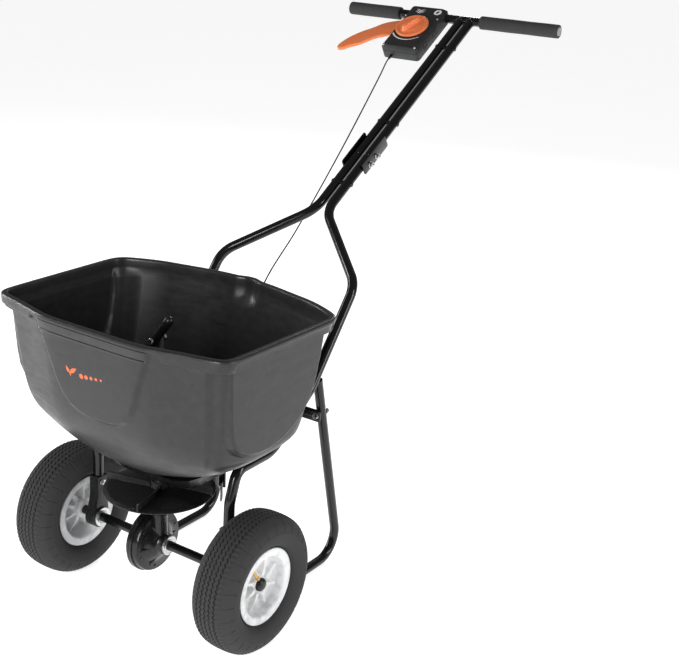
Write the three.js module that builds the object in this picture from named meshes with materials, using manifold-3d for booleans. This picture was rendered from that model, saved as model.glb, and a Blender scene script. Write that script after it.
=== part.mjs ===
// Walk-behind broadcast spreader for garden use: hopper, tube frame, two pneumatic wheels,
// ground-driven gearbox, spinner, shutter, and a T handle with a rate dial and a lever.
// Millimetres. +Z is up, +X runs along the axle, the handle is towards +Y.
// The origin is on the ground, below the middle of the whole machine. The sub-assemblies are laid
// out from the point on the ground below the spinner shaft, and the root group moves them as one.
import * as THREE from 'three';
import { mergeVertices } from 'three/addons/utils/BufferGeometryUtils.js';
import { ParametricGeometry } from 'three/addons/geometries/ParametricGeometry.js';
import Module from 'manifold-3d';

const wasm = await Module();
wasm.setup();

// ---------------------------------------------------------------- driving dimensions
const GAP = 0.3;
const TUBE_R = 10;
const TUBE_WALL = 1.6;

const ROOT_X = 26;
const ROOT_Y = -432;

const AXLE_Z = 130;
const AXLE_R = 9;
const AXLE_HALF = 245;
// The way the valve stem points, from straight down, as the wheels stand at rest.
const VALVE_TURN = Math.PI - 0.62;
const WHEEL_X = 221;
const TYRE_R = 130;
const TYRE_HALF = 44;
const RIM_FLANGE_R = 72;
const RIM_FLANGE_X = 33;
const RIM_SEAT_R = 61.5;

const COLUMN_SLOPE = THREE.MathUtils.degToRad(32.6);
const BAR_Y = 1023;
const BAR_Z = 1031;
const BAR_LEFT = -314;
const BAR_RIGHT = 231;
const COLUMN_X = 13;
const JOINT_S = -476;
const SPLIT_S = -645;

const BOX_LEFT = -145;
const BOX_RIGHT = -50;
const BOX_TOP_S = 13;
const BOX_END_S = -144;
const BOX_FLOOR_H = -14;
const BOX_SPLIT_H = 6;
const BOX_FACE_H = 20;
const DIAL_X = -101;
const DIAL_S = -68;
const DIAL_R = 39;
const LEVER_PIVOT = [-126, -42];
const LEVER_H = -1;
const LEVER_THICK = 9;

const FRAME_X = 165;
const FRAME_DROP_X = 162;
const LEG_X = 157;
const LEG_R = 9.5;
const FOOT_Z = 9.5;

const RIM_Z = 597;
const HOPPER_WALL = 3.5;
const FLOOR_Z = 308;
const COLLAR_TOP_Z = 304;
const COLLAR_BASE_Z = 277;
const SHUTTER_Z = 273.6;
const SHUTTER_THICK = 2.4;

const DISC_R = 103;
const DISC_Z = 243;
const SHAFT_R = 6;
const SHAFT_TOP_Z = 549;

const GEAR_TEETH = 38;
const PINION_TEETH = 8;
const GEAR_MID_R = 42;
const PINION_PITCH_R = GEAR_MID_R * PINION_TEETH / GEAR_TEETH;
const TOOTH_TIP = 1.9;
const TOOTH_ROOT = 2.6;
const HOUSING_R = 62;
const HOUSING_FAR_X = -31;
const HOUSING_SPLIT_X = -21;
const HOUSING_NEAR_X = -3;

// ---------------------------------------------------------------- materials
function finish(color, roughness, metalness = 0) {
  return new THREE.MeshStandardMaterial({ color, roughness, metalness });
}
const PAINT = finish(0x17181a, 0.34, 0.3);
const PLASTIC = finish(0x26272a, 0.45);
const MATTE = finish(0x2b2c2f, 0.7);
const SPINNER_PLASTIC = finish(0x141517, 0.55);
const BOX_PLASTIC = finish(0x3a3b3f, 0.55);
const RUBBER = finish(0x1c1c1e, 0.85);
const FOAM = finish(0x1f1f22, 0.9);
const WHITE = finish(0xe9eaec, 0.4);
const ORANGE = finish(0xf0622a, 0.45);
const ZINC = finish(0xbfc3c7, 0.35, 0.9);
const BRASS = finish(0xb98a3e, 0.35, 0.9);
const STEEL = finish(0x85888c, 0.4, 0.9);
const GREY_PLUG = finish(0x8d8f93, 0.6);

// ---------------------------------------------------------------- closed solids
function closed(geometry) {
  const bare = geometry.clone();
  bare.deleteAttribute('normal');
  bare.deleteAttribute('uv');
  const merged = mergeVertices(bare, 1e-4);
  const spots = merged.getAttribute('position');
  const kept = [];
  const index = merged.index.array;
  let volume = 0;
  const a = new THREE.Vector3();
  const b = new THREE.Vector3();
  const c = new THREE.Vector3();
  for (let i = 0; i < index.length; i += 3) {
    const [p, q, r] = [index[i], index[i + 1], index[i + 2]];
    if (p === q || q === r || r === p) {
      continue;
    }
    a.fromBufferAttribute(spots, p);
    b.fromBufferAttribute(spots, q);
    c.fromBufferAttribute(spots, r);
    volume += a.dot(b.cross(c));
    kept.push(p, q, r);
  }
  if (volume < 0) {
    for (let i = 0; i < kept.length; i += 3) {
      [kept[i], kept[i + 1]] = [kept[i + 1], kept[i]];
    }
  }
  merged.setIndex(kept);
  return merged;
}

function solid(geometry) {
  const ready = closed(geometry);
  return new wasm.Manifold(new wasm.Mesh({
    numProp: 3,
    vertProperties: new Float32Array(ready.getAttribute('position').array),
    triVerts: new Uint32Array(ready.index.array),
  }));
}

function geometryOf(body) {
  const mesh = body.getMesh();
  const geometry = new THREE.BufferGeometry();
  geometry.setAttribute('position', new THREE.BufferAttribute(new Float32Array(mesh.vertProperties), 3));
  geometry.setIndex(Array.from(mesh.triVerts));
  return geometry;
}

function join(first, ...others) {
  return geometryOf(others.reduce((sum, other) => sum.add(solid(other)), solid(first)));
}

function cut(first, ...others) {
  return geometryOf(others.reduce((rest, other) => rest.subtract(solid(other)), solid(first)));
}

function shift(geometry, x, y, z) {
  return geometry.translate(x, y, z);
}

function piece(group, name, material, geometry) {
  const mesh = new THREE.Mesh(closed(geometry), material);
  mesh.name = name;
  group.add(mesh);
  return mesh;
}

// ---------------------------------------------------------------- basic shapes
function box(x0, x1, y0, y1, z0, z1) {
  const block = new THREE.BoxGeometry(x1 - x0, y1 - y0, z1 - z0);
  return shift(block, (x0 + x1) / 2, (y0 + y1) / 2, (z0 + z1) / 2);
}

function rodX(x0, x1, radius, y, z, sides = 16) {
  const rod = new THREE.CylinderGeometry(radius, radius, x1 - x0, sides);
  return shift(rod.rotateZ(Math.PI / 2), (x0 + x1) / 2, y, z);
}

function rodY(y0, y1, radius, x, z, sides = 20) {
  const rod = new THREE.CylinderGeometry(radius, radius, y1 - y0, sides);
  return shift(rod, x, (y0 + y1) / 2, z);
}

function rodZ(z0, z1, radius, x, y, sides = 20) {
  const rod = new THREE.CylinderGeometry(radius, radius, z1 - z0, sides);
  return shift(rod.rotateX(Math.PI / 2), x, y, (z0 + z1) / 2);
}

// Profile points are [axial, radius]; the axis of the turned shape is X.
function turnedX(profile, sides) {
  const points = profile.map(([axial, radius]) => new THREE.Vector2(radius, axial));
  return new THREE.LatheGeometry(points, sides).rotateZ(-Math.PI / 2);
}

function turnedZ(profile, sides) {
  const points = profile.map(([axial, radius]) => new THREE.Vector2(radius, axial));
  return new THREE.LatheGeometry(points, sides).rotateX(Math.PI / 2);
}

function loop(profile) {
  return [...profile, profile[0]];
}

// Outline points are [x, y]; the plate rises from z0 to z1.
function plate(outline, z0, z1, holes = []) {
  const shape = new THREE.Shape(outline.map(([x, y]) => new THREE.Vector2(x, y)));
  for (const hole of holes) {
    shape.holes.push(new THREE.Path(hole.map(([x, y]) => new THREE.Vector2(x, y))));
  }
  const raised = new THREE.ExtrudeGeometry(shape, { depth: z1 - z0, bevelEnabled: false, steps: 1 });
  return shift(raised, 0, 0, z0);
}

function circle(radius, sides, x = 0, y = 0) {
  const points = [];
  for (let i = 0; i < sides; i += 1) {
    const angle = i * 2 * Math.PI / sides;
    points.push([x + radius * Math.cos(angle), y + radius * Math.sin(angle)]);
  }
  return points;
}

function roundedRect(x0, x1, y0, y1, radius, steps = 3) {
  const points = [];
  const corners = [[x1 - radius, y1 - radius, 0], [x0 + radius, y1 - radius, 1],
    [x0 + radius, y0 + radius, 2], [x1 - radius, y0 + radius, 3]];
  for (const [x, y, turn] of corners) {
    for (let i = 0; i <= steps; i += 1) {
      const angle = (turn + i / steps) * Math.PI / 2;
      points.push([x + radius * Math.cos(angle), y + radius * Math.sin(angle)]);
    }
  }
  return points;
}

// ---------------------------------------------------------------- bent tubes
// A run of straight lengths with a round bend at each inner point.
class BentRun extends THREE.Curve {
  constructor(points, radii, bendSteps = 3) {
    super();
    const spots = points.map((p) => new THREE.Vector3(...p));
    this.stations = [];
    const last = spots.length - 1;
    const heading = (i) => spots[i + 1].clone().sub(spots[i]).normalize();
    this.stations.push([spots[0], heading(0)]);
    for (let i = 1; i < last; i += 1) {
      this.addBend(spots[i], heading(i - 1), heading(i), radii[i - 1], bendSteps);
    }
    this.stations.push([spots[last], heading(last - 1)]);
  }

  addBend(corner, before, after, radius, steps) {
    const turn = before.angleTo(after);
    const reach = radius * Math.tan(turn / 2);
    const side = after.clone().sub(before.clone().multiplyScalar(before.dot(after))).normalize();
    const start = corner.clone().addScaledVector(before, -reach);
    const centre = start.clone().addScaledVector(side, radius);
    for (let i = 0; i <= steps; i += 1) {
      const angle = turn * i / steps;
      const spot = centre.clone().addScaledVector(side, -radius * Math.cos(angle));
      spot.addScaledVector(before, radius * Math.sin(angle));
      const tangent = before.clone().multiplyScalar(Math.cos(angle));
      tangent.addScaledVector(side, Math.sin(angle));
      this.stations.push([spot, tangent.normalize()]);
    }
  }

  station(u) {
    return this.stations[Math.round(u * (this.stations.length - 1))];
  }

  getPoint(u) {
    return this.station(u)[0].clone();
  }

  getPointAt(u) {
    return this.getPoint(u);
  }

  getTangentAt(u) {
    return this.station(u)[1].clone();
  }
}

function tubeAlong(run, radius, wall, sides = 10) {
  const shape = new THREE.Shape(circle(radius, sides).map(([x, y]) => new THREE.Vector2(x, y)));
  if (wall > 0) {
    const bore = circle(radius - wall, 6).map(([x, y]) => new THREE.Vector2(x, y));
    shape.holes.push(new THREE.Path(bore));
  }
  const steps = run.stations.length - 1;
  return new THREE.ExtrudeGeometry(shape, { steps, bevelEnabled: false, extrudePath: run });
}

function straightTubeX(x0, x1, radius, bore, sides = 20) {
  return turnedX(loop([[x0, bore], [x1, bore], [x1, radius], [x0, radius]]), sides);
}

function hexHead(x0, x1, acrossCorners, y, z) {
  return rodX(x0, x1, acrossCorners / 2, y, z, 6);
}

const spreader = new THREE.Group();
spreader.position.set(ROOT_X, ROOT_Y, 0);

// ---------------------------------------------------------------- hopper
// Half of the rim outline from the middle of the front to the middle of the rear.
const RIM_HALF = [[0, -176], [60, -176], [112, -175], [150, -165], [186, -155], [236, -144],
  [257, -137], [265, -124], [266, -80], [266, 8], [266, 100], [266, 150], [261, 166], [249, 179],
  [190, 207], [130, 220], [65, 235], [0, 240]];
const RIM_OUTLINE = [...RIM_HALF, ...RIM_HALF.slice(1, -1).reverse().map(([x, y]) => [-x, y])];
const RIM_COUNT = RIM_OUTLINE.length;

// Each level of the wall: height, half width, front reach, rear reach, roundness.
const OUTER_LEVELS = [
  [FLOOR_Z, 62, -24, 80, 1],
  [FLOOR_Z, 84, -66, 95, 1],
  [322, 118, -90, 114, 0.95],
  [340, 170, -108, 136, 0.85],
  [366, 219, -125, 156, 0.7],
  [390, 240, -138, 172, 0.5],
  [420, 247, -148, 188, 0.3],
  [470, 251, -156, 206, 0.12],
  [530, 255, -163, 222, 0.04],
  [RIM_Z - 18, 259, -168, 232, 0],
  [RIM_Z - 18, 267.5, -177.5, 241.5, 0],
  [RIM_Z - 2, 267.5, -177.5, 241.5, 0],
  [RIM_Z, 264, -174, 238, 0],
];
const INNER_LEVELS = [
  [RIM_Z, 256, -166, 230, 0],
  [RIM_Z - 12, 254.5, -164, 228, 0],
  [530, 255, -163, 222, 0.04],
  [470, 251, -156, 206, 0.12],
  [420, 247, -148, 188, 0.3],
  [390, 240, -138, 172, 0.5],
  [366, 219, -125, 156, 0.7],
  [340, 170, -108, 136, 0.85],
  [322, 118, -90, 114, 0.95],
  [FLOOR_Z, 88, -68, 99, 1],
  [FLOOR_Z, 62, -24, 80, 1],
];
const CORNER_POWER = 3;

function rimShape(index) {
  const [x, y] = RIM_OUTLINE[index % RIM_COUNT];
  const unit = new THREE.Vector2(x / 266, (y - 32) / 208);
  return unit;
}

function levelPoint(level, index, inset, lift) {
  const [height, halfWidth, front, rear, roundness] = level;
  const unit = rimShape(index);
  const angle = Math.atan2(unit.y, unit.x);
  const spread = Math.abs(Math.cos(angle)) ** CORNER_POWER + Math.abs(Math.sin(angle)) ** CORNER_POWER;
  const reach = spread ** (-1 / CORNER_POWER);
  const x = THREE.MathUtils.lerp(unit.x, reach * Math.cos(angle), roundness);
  const y = THREE.MathUtils.lerp(unit.y, reach * Math.sin(angle), roundness);
  const halfDepth = (rear - front) / 2;
  return new THREE.Vector3(
    x * (halfWidth - inset),
    (front + rear) / 2 + y * (halfDepth - inset),
    height + lift,
  );
}

function hopperShell() {
  const rows = [];
  OUTER_LEVELS.forEach((level) => rows.push([level, 0, 0]));
  INNER_LEVELS.forEach((level, i) => {
    const onRim = i < 2 || i === INNER_LEVELS.length - 1;
    const inset = onRim ? 0 : HOPPER_WALL;
    const lift = i >= INNER_LEVELS.length - 2 ? HOPPER_WALL : (onRim ? 0 : 1.5);
    rows.push([level, inset, lift]);
  });
  const surface = (u, v, target) => {
    const row = rows[Math.round(v * rows.length) % rows.length];
    target.copy(levelPoint(row[0], Math.round(u * RIM_COUNT), row[1], row[2]));
  };
  return new ParametricGeometry(surface, RIM_COUNT, rows.length);
}

piece(spreader, 'hopper', PLASTIC, hopperShell());

// ---------------------------------------------------------------- outlet below the hopper
const COLLAR_CENTRE_Y = 30;
const PORTS = [[-36, 38], [0, 52], [36, 38]];
const PORT_R = 14;

function frustum(low, high) {
  const [z0, w0, f0, r0] = low;
  const [z1, w1, f1, r1] = high;
  const side = (u, v, target) => {
    const k = Math.round(u * 32) % 32;
    const angle = (k + 0.5) * 2 * Math.PI / 32;
    const power = 5;
    const spread = Math.abs(Math.cos(angle)) ** power + Math.abs(Math.sin(angle)) ** power;
    const reach = spread ** (-1 / power);
    const row = Math.round(v * 3);
    const atTop = row >= 2;
    const shrink = row === 0 || row === 3 ? 0 : 1;
    const [z, w, f, r] = atTop ? [z1, w1, f1, r1] : [z0, w0, f0, r0];
    const middle = (f + r) / 2;
    const half = (r - f) / 2;
    target.set(shrink * reach * Math.cos(angle) * w, middle + shrink * reach * Math.sin(angle) * half, z);
  };
  return new ParametricGeometry(side, 32, 3);
}

const collarBody = frustum([COLLAR_BASE_Z, 96, -34, 98], [COLLAR_TOP_Z, 112, -58, 112]);
const collarPocket = frustum([COLLAR_BASE_Z + 4, 60, -20, 76], [COLLAR_TOP_Z + 2, 63, -25, 81]);
const portCuts = PORTS.map(([x, y]) => rodZ(COLLAR_BASE_Z - 5, COLLAR_BASE_Z + 8, PORT_R, x, y, 20));
const shaftPass = rodZ(COLLAR_BASE_Z - 5, COLLAR_BASE_Z + 8, SHAFT_R + 1.2, 0, 0, 20);
piece(spreader, 'outlet_collar', PLASTIC, cut(collarBody, collarPocket, ...portCuts, shaftPass));

for (const [side, name] of [[-1, 'left'], [1, 'right']]) {
  const lip = box(66, 78, 12, 178, SHUTTER_Z - 3.2, SHUTTER_Z - GAP);
  const wall = box(71, 78, 12, 178, SHUTTER_Z - 3.2, COLLAR_BASE_Z - GAP);
  const rail = join(lip, wall);
  const turned = side < 0 ? rail.rotateZ(Math.PI).translate(0, 190, 0) : rail;
  piece(spreader, `shutter_rail_${name}`, MATTE, turned);
}

const tangWidth = 10;
const shutterOutline = [[-70, 20], [70, 20], [70, 118], [tangWidth, 124], [tangWidth, 132],
  [-tangWidth, 132], [-tangWidth, 124], [-70, 118]];
piece(spreader, 'shutter_plate', STEEL, plate(shutterOutline, SHUTTER_Z, SHUTTER_Z + SHUTTER_THICK));

// Curved guard behind the spinner, hung from two ears below the rear of the collar.
function guard() {
  const outline = [];
  const from = THREE.MathUtils.degToRad(28);
  const to = THREE.MathUtils.degToRad(152);
  const steps = 20;
  for (let i = 0; i <= steps; i += 1) {
    const angle = from + (to - from) * i / steps;
    outline.push([117 * Math.cos(angle), 117 * Math.sin(angle)]);
  }
  for (let i = steps; i >= 0; i -= 1) {
    const angle = from + (to - from) * i / steps;
    outline.push([114 * Math.cos(angle), 114 * Math.sin(angle)]);
  }
  return plate(outline, 226, 262);
}
function guardEar(side) {
  const upright = box(80, 94, 74, 77, 244, COLLAR_BASE_Z - GAP);
  const foot = box(80, 94, 58, 77, COLLAR_BASE_Z - 3, COLLAR_BASE_Z - GAP);
  const ear = join(upright, foot);
  return side < 0 ? ear.translate(-174, 0, 0) : ear;
}
piece(spreader, 'rear_deflector', MATTE, join(guard(), guardEar(-1), guardEar(1)));

// ---------------------------------------------------------------- handle column, bar and grips
const column = new THREE.Group();
column.position.set(0, BAR_Y, BAR_Z);
column.rotation.x = COLUMN_SLOPE;
spreader.add(column);

const JOINT_BOLTS = [-463, -490];
const SPACER_BOLTS = [['top', -101], ['middle', -365], ['lower', -560]];

for (const [side, name] of [[-1, 'left'], [1, 'right']]) {
  const x = side * COLUMN_X;
  const outer = rodY(JOINT_S + GAP, 0, TUBE_R, x, 0, 12);
  const bore = rodY(JOINT_S - 5, -16, TUBE_R - TUBE_WALL, x, 0, 8);
  const saddle = rodX(-60, 60, TUBE_R + GAP, 0, 0, 20);
  const boltCut = shift(rodX(-60, 60, 3.3, 0, 0, 10), 0, JOINT_BOLTS[0], -5);
  const spacerCuts = SPACER_BOLTS.slice(0, 2).map(([, s]) => shift(rodX(-60, 60, 3.3, 0, 0, 10), 0, s, 0));
  piece(column, `handle_tube_${name}`, PAINT, cut(outer, bore, saddle, boltCut, ...spacerCuts));
}

piece(column, 'handle_bar', PAINT, straightTubeX(BAR_LEFT, BAR_RIGHT, TUBE_R, TUBE_R - TUBE_WALL, 16));
const gripProfile = (x0, x1) => loop([[x0, TUBE_R + GAP], [x1, TUBE_R + GAP], [x1, 13.6], [x1 - 2, 14.8],
  [x0 + 2, 14.8], [x0, 13.6]]);
piece(column, 'grip_left', FOAM, turnedX(gripProfile(BAR_LEFT - 1, -175), 18));
piece(column, 'grip_right', FOAM, turnedX(gripProfile(39, BAR_RIGHT + 1), 18));
for (const [side, name, end] of [[-1, 'left', BAR_LEFT], [1, 'right', BAR_RIGHT]]) {
  const stem = TUBE_R - TUBE_WALL - GAP;
  const cap = turnedX([
    [-18, 0], [-18, stem], [GAP, stem], [GAP, TUBE_R - 0.5], [2.5, TUBE_R - 1.5], [3, 0],
  ], 12);
  if (side < 0) {
    cap.rotateZ(Math.PI);
  }
  piece(column, `bar_plug_${name}`, GREY_PLUG, shift(cap, end, 0, 0));
}

for (const [side, name] of [[-1, 'left'], [1, 'right']]) {
  const outline = roundedRect(-514, -418, -14, 14, 4);
  const holes = JOINT_BOLTS.map((s) => circle(3.4, 10, s, -5));
  const flat = plate(outline, 0, 3, holes).rotateX(Math.PI / 2).rotateZ(Math.PI / 2);
  const x = side < 0 ? -COLUMN_X - TUBE_R - GAP - 3 : COLUMN_X + TUBE_R + GAP;
  piece(column, `joint_plate_${name}`, PAINT, shift(flat, x, 0, 0));
}
const PLATE_X = COLUMN_X + TUBE_R + 3 + 2 * GAP;
JOINT_BOLTS.forEach((s, i) => {
  const shank = rodX(-PLATE_X, PLATE_X + 9, 3, s, -5, 10);
  const head = hexHead(-PLATE_X - 4, -PLATE_X, 11.5, s, -5);
  const nut = hexHead(PLATE_X, PLATE_X + 6, 12.5, s, -5);
  piece(column, `joint_bolt_${i + 1}`, ZINC, join(shank, head, nut));
});
for (const [name, s] of SPACER_BOLTS) {
  const reach = COLUMN_X + TUBE_R;
  const shank = rodX(-reach - 1, reach + 1, 3, s, 0, 10);
  const ends = [rodX(-reach - 3, -reach - GAP, 5.5, s, 0, 10), rodX(reach + GAP, reach + 3, 5.5, s, 0, 10)];
  piece(column, `spacer_bolt_${name}`, PAINT, join(shank, ...ends));
}

// ---------------------------------------------------------------- control box
const control = new THREE.Group();
column.add(control);
const boxOutline = roundedRect(BOX_LEFT, BOX_RIGHT, BOX_END_S, BOX_TOP_S, 7);
const innerOutline = roundedRect(BOX_LEFT + 4, BOX_RIGHT - 4, BOX_END_S + 4, -16, 4, 1);
const barPass = rodX(BOX_LEFT - 5, BOX_RIGHT + 5, TUBE_R + GAP, 0, 0, 24);
const leverMouth = box(BOX_LEFT - 5, BOX_LEFT + 8, -100, -17, LEVER_H - 6, LEVER_H + 6);
const cablePass = rodY(BOX_END_S - 5, BOX_END_S + 8, 2.6, -122, -6, 10);
const baseFloor = plate(innerOutline, BOX_FLOOR_H + 4, BOX_SPLIT_H + 2);
const baseShell = cut(plate(boxOutline, BOX_FLOOR_H, BOX_SPLIT_H), baseFloor, barPass, leverMouth, cablePass);
const pivotPost = rodZ(BOX_FLOOR_H + 2, LEVER_H + 7, 4, ...LEVER_PIVOT, 14);
piece(control, 'control_box_base', BOX_PLASTIC, join(baseShell, pivotPost));
const coverTop = plate(boxOutline, BOX_SPLIT_H + GAP, BOX_FACE_H - 3);
const faceOutline = roundedRect(BOX_LEFT + 3, BOX_RIGHT - 3, BOX_END_S + 3, BOX_TOP_S - 3, 6);
const coverFace = plate(faceOutline, BOX_FACE_H - 4, BOX_FACE_H);
const coverRoom = plate(innerOutline, BOX_SPLIT_H - 2, BOX_FACE_H - 5);
const spindlePass = rodZ(0, BOX_FACE_H + 5, 5.6, DIAL_X, DIAL_S, 16);
piece(control, 'control_box_cover', BOX_PLASTIC,
  cut(join(coverTop, coverFace), coverRoom, barPass, spindlePass));

const dialDisc = turnedZ([[BOX_FACE_H - 8, 0], [BOX_FACE_H - 8, 5], [BOX_FACE_H + GAP, 5],
  [BOX_FACE_H + GAP, DIAL_R], [BOX_FACE_H + 4.5, DIAL_R], [BOX_FACE_H + 6, DIAL_R - 2],
  [BOX_FACE_H + 6, 0]], 32);
const dialBar = box(-5, 5, -24, 24, BOX_FACE_H + 5, BOX_FACE_H + 17).rotateZ(-0.45);
const dial = piece(control, 'rate_dial', ORANGE, join(dialDisc, dialBar));
dial.position.set(DIAL_X, DIAL_S, 0);

// Outline of the hand lever in the plane of the box, from the pivot eye to the tip.
const LEVER_OUTLINE = [[-126, -30], [-150, -26], [-172, -32], [-196, -45], [-216, -66], [-238, -86],
  [-256, -110], [-268, -138], [-264, -152], [-252, -150], [-238, -138], [-220, -126], [-200, -104],
  [-186, -92], [-168, -82], [-150, -60], [-126, -54]];
const leverBlade = plate(LEVER_OUTLINE, LEVER_H - LEVER_THICK / 2, LEVER_H + LEVER_THICK / 2);
const leverEye = rodZ(LEVER_H - LEVER_THICK / 2, LEVER_H + LEVER_THICK / 2, 12, ...LEVER_PIVOT, 20);
const leverBore = rodZ(LEVER_H - 20, LEVER_H + 20, 4.3, ...LEVER_PIVOT, 14);
piece(control, 'shutter_lever', ORANGE, cut(join(leverBlade, leverEye), leverBore));

// ---------------------------------------------------------------- lower frame tubes
function columnPoint(x, s) {
  return [x, BAR_Y + s * Math.cos(COLUMN_SLOPE), BAR_Z + s * Math.sin(COLUMN_SLOPE)];
}

function frameRun(side) {
  const points = [
    columnPoint(side * COLUMN_X, JOINT_S - GAP),
    columnPoint(side * COLUMN_X, SPLIT_S),
    [side * FRAME_X, 367, 586],
    [side * FRAME_X, 235, 413],
    [side * (FRAME_X - 2), 122, 322],
    [side * FRAME_DROP_X, 24, 320],
    [side * FRAME_DROP_X, 5, 262],
    [side * FRAME_DROP_X, 4, 190.5],
  ];
  return new BentRun(points, [70, 62, 70, 60, 26, 60]);
}

function columnCut(s, h, radius = 3.3) {
  const hole = rodX(-60, 60, radius, s, h, 10);
  hole.rotateX(COLUMN_SLOPE);
  return shift(hole, 0, BAR_Y, BAR_Z);
}

for (const [side, name] of [[-1, 'left'], [1, 'right']]) {
  const tube = tubeAlong(frameRun(side), TUBE_R, TUBE_WALL);
  const cuts = [columnCut(JOINT_BOLTS[1], -5), columnCut(-560, 0), rodX(-200, 200, 3.4, 4, 203, 10)];
  piece(spreader, `frame_tube_${name}`, PAINT, cut(tube, ...cuts));
}

// ---------------------------------------------------------------- rest legs
function legRun(side) {
  return new BentRun([[side * (LEG_X + 3), 265, 420], [side * LEG_X, 370, FOOT_Z],
    [side * LEG_X, 215, FOOT_Z]], [50], 6);
}
const BRACE_Y = 267;
const BRACE_Z = 345;
for (const [side, name] of [[-1, 'left'], [1, 'right']]) {
  const tube = tubeAlong(legRun(side), LEG_R, TUBE_WALL);
  const boltX = side * (LEG_X + 2.4);
  const hole = rodY(240, 320, 3.3, boltX, BRACE_Z, 10);
  piece(spreader, `leg_${name}`, PAINT, cut(tube, hole));
  const shank = rodY(BRACE_Y - 3, 304, 3, boltX, BRACE_Z, 10);
  const head = rodY(BRACE_Y - 7.5, BRACE_Y - 2.4 - GAP, 6, boltX, BRACE_Z, 6);
  const nut = rodY(297, 302.5, 6, boltX, BRACE_Z, 6);
  piece(spreader, `leg_bolt_${name}`, ZINC, join(shank, head, nut));
  const plug = rodY(211, 215 - GAP, LEG_R, side * LEG_X, FOOT_Z, 16);
  const stem = rodY(213, 228, LEG_R - TUBE_WALL - 1.8, side * LEG_X, FOOT_Z, 10);
  piece(spreader, `foot_plug_${name}`, MATTE, join(plug, stem));
}
const braceOutline = roundedRect(-LEG_X - 12, LEG_X + 12, BRACE_Z - 12, BRACE_Z + 12, 5);
const braceHoles = [-1, 1].map((side) => circle(3.4, 10, side * (LEG_X + 2.4), BRACE_Z));
const brace = plate(braceOutline, -2, 2, braceHoles).rotateX(Math.PI / 2);
piece(spreader, 'leg_brace', PAINT, shift(brace, 0, BRACE_Y, 0));

// ---------------------------------------------------------------- axle brackets and bearings
for (const [side, name] of [[-1, 'left'], [1, 'right']]) {
  const near = side * (FRAME_DROP_X - 12);
  const far = side * (FRAME_DROP_X + 11);
  const [x0, x1] = [Math.min(near, far), Math.max(near, far)];
  const block = box(x0, x1, -8, 16, 148, 214);
  const boss = rodX(x0, x1, 22, 0, AXLE_Z, 20);
  const socket = rodZ(190, 220, TUBE_R + 0.9, side * FRAME_DROP_X, 4, 14);
  const seat = rodX(x0 - 5, x1 + 5, 14.4, 0, AXLE_Z, 18);
  const pinHole = rodX(x0 - 5, x1 + 5, 3.4, 4, 203, 10);
  piece(spreader, `axle_bracket_${name}`, PAINT, cut(join(block, boss), socket, seat, pinHole));
  const ringIn = side * (FRAME_DROP_X - 16);
  const ringOut = side * (FRAME_DROP_X + 9);
  const flange = side * (FRAME_DROP_X - 12.4);
  const bore = AXLE_R + 0.5;
  const ring = turnedX(loop([[ringIn, bore], [ringOut, bore], [ringOut, 13.9], [flange, 13.9],
    [flange, 19], [ringIn, 18]]), 18);
  piece(spreader, `axle_bearing_${name}`, ZINC, shift(ring, 0, 0, AXLE_Z));
}
for (const [side, name] of [[-1, 'left'], [1, 'right']]) {
  const inner = FRAME_DROP_X - 12 - GAP;
  const shank = rodX(inner - 1, FRAME_DROP_X + 11, 3, 4, 203, 10);
  const head = rodX(inner - 4.5, inner, 6, 4, 203, 6);
  const bolt = join(shank, head);
  piece(spreader, `bracket_bolt_${name}`, ZINC, side < 0 ? bolt.rotateY(Math.PI).translate(0, 0, 406) : bolt);
}

// ---------------------------------------------------------------- gearbox
const HOUSING_WALL = 2.6;
const NECK_R = 15.5;
const NECK_TOP_Z = DISC_Z - 12;
const PINION_LOW_Z = AXLE_Z + 36.5;
const PINION_HIGH_Z = AXLE_Z + 47.5;

function aroundAxle(profile, sides) {
  return shift(turnedX(profile, sides), 0, 0, AXLE_Z);
}
const drumNear = aroundAxle([[HOUSING_SPLIT_X + GAP, 0], [HOUSING_SPLIT_X + GAP, HOUSING_R],
  [HOUSING_NEAR_X - 2, HOUSING_R], [HOUSING_NEAR_X, HOUSING_R - 3], [HOUSING_NEAR_X, 40],
  [HOUSING_NEAR_X + 14, 21], [HOUSING_NEAR_X + 25, 19], [HOUSING_NEAR_X + 25, 0]], 28);
const neck = rodZ(AXLE_Z + 20, NECK_TOP_Z, NECK_R, 0, 0, 18);
const webOutline = [[0, AXLE_Z + 12], [19, AXLE_Z + 12], [17, AXLE_Z + 40], [0, AXLE_Z + 84]];
const web = plate(webOutline, -2, 2).rotateX(Math.PI / 2);
const drumRoom = aroundAxle([[HOUSING_SPLIT_X - 5, 0], [HOUSING_SPLIT_X - 5, HOUSING_R - 4],
  [HOUSING_NEAR_X - HOUSING_WALL, HOUSING_R - 4], [HOUSING_NEAR_X - HOUSING_WALL, 0]], 28);
const pinionRoom = rodZ(AXLE_Z + 33, AXLE_Z + 52, 12.4, 0, 0, 16);
const shaftBore = rodZ(AXLE_Z + 40, NECK_TOP_Z + 5, SHAFT_R + 0.4, 0, 0, 16);
const axleBore = rodX(-60, 60, AXLE_R + 0.6, 0, AXLE_Z, 18);
const bearingSeat = rodX(HOUSING_NEAR_X + 14, HOUSING_NEAR_X + 30, 14.4, 0, AXLE_Z, 18);
piece(spreader, 'gearbox_housing', PAINT,
  cut(join(drumNear, neck, web), drumRoom, pinionRoom, shaftBore, axleBore, bearingSeat));

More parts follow.
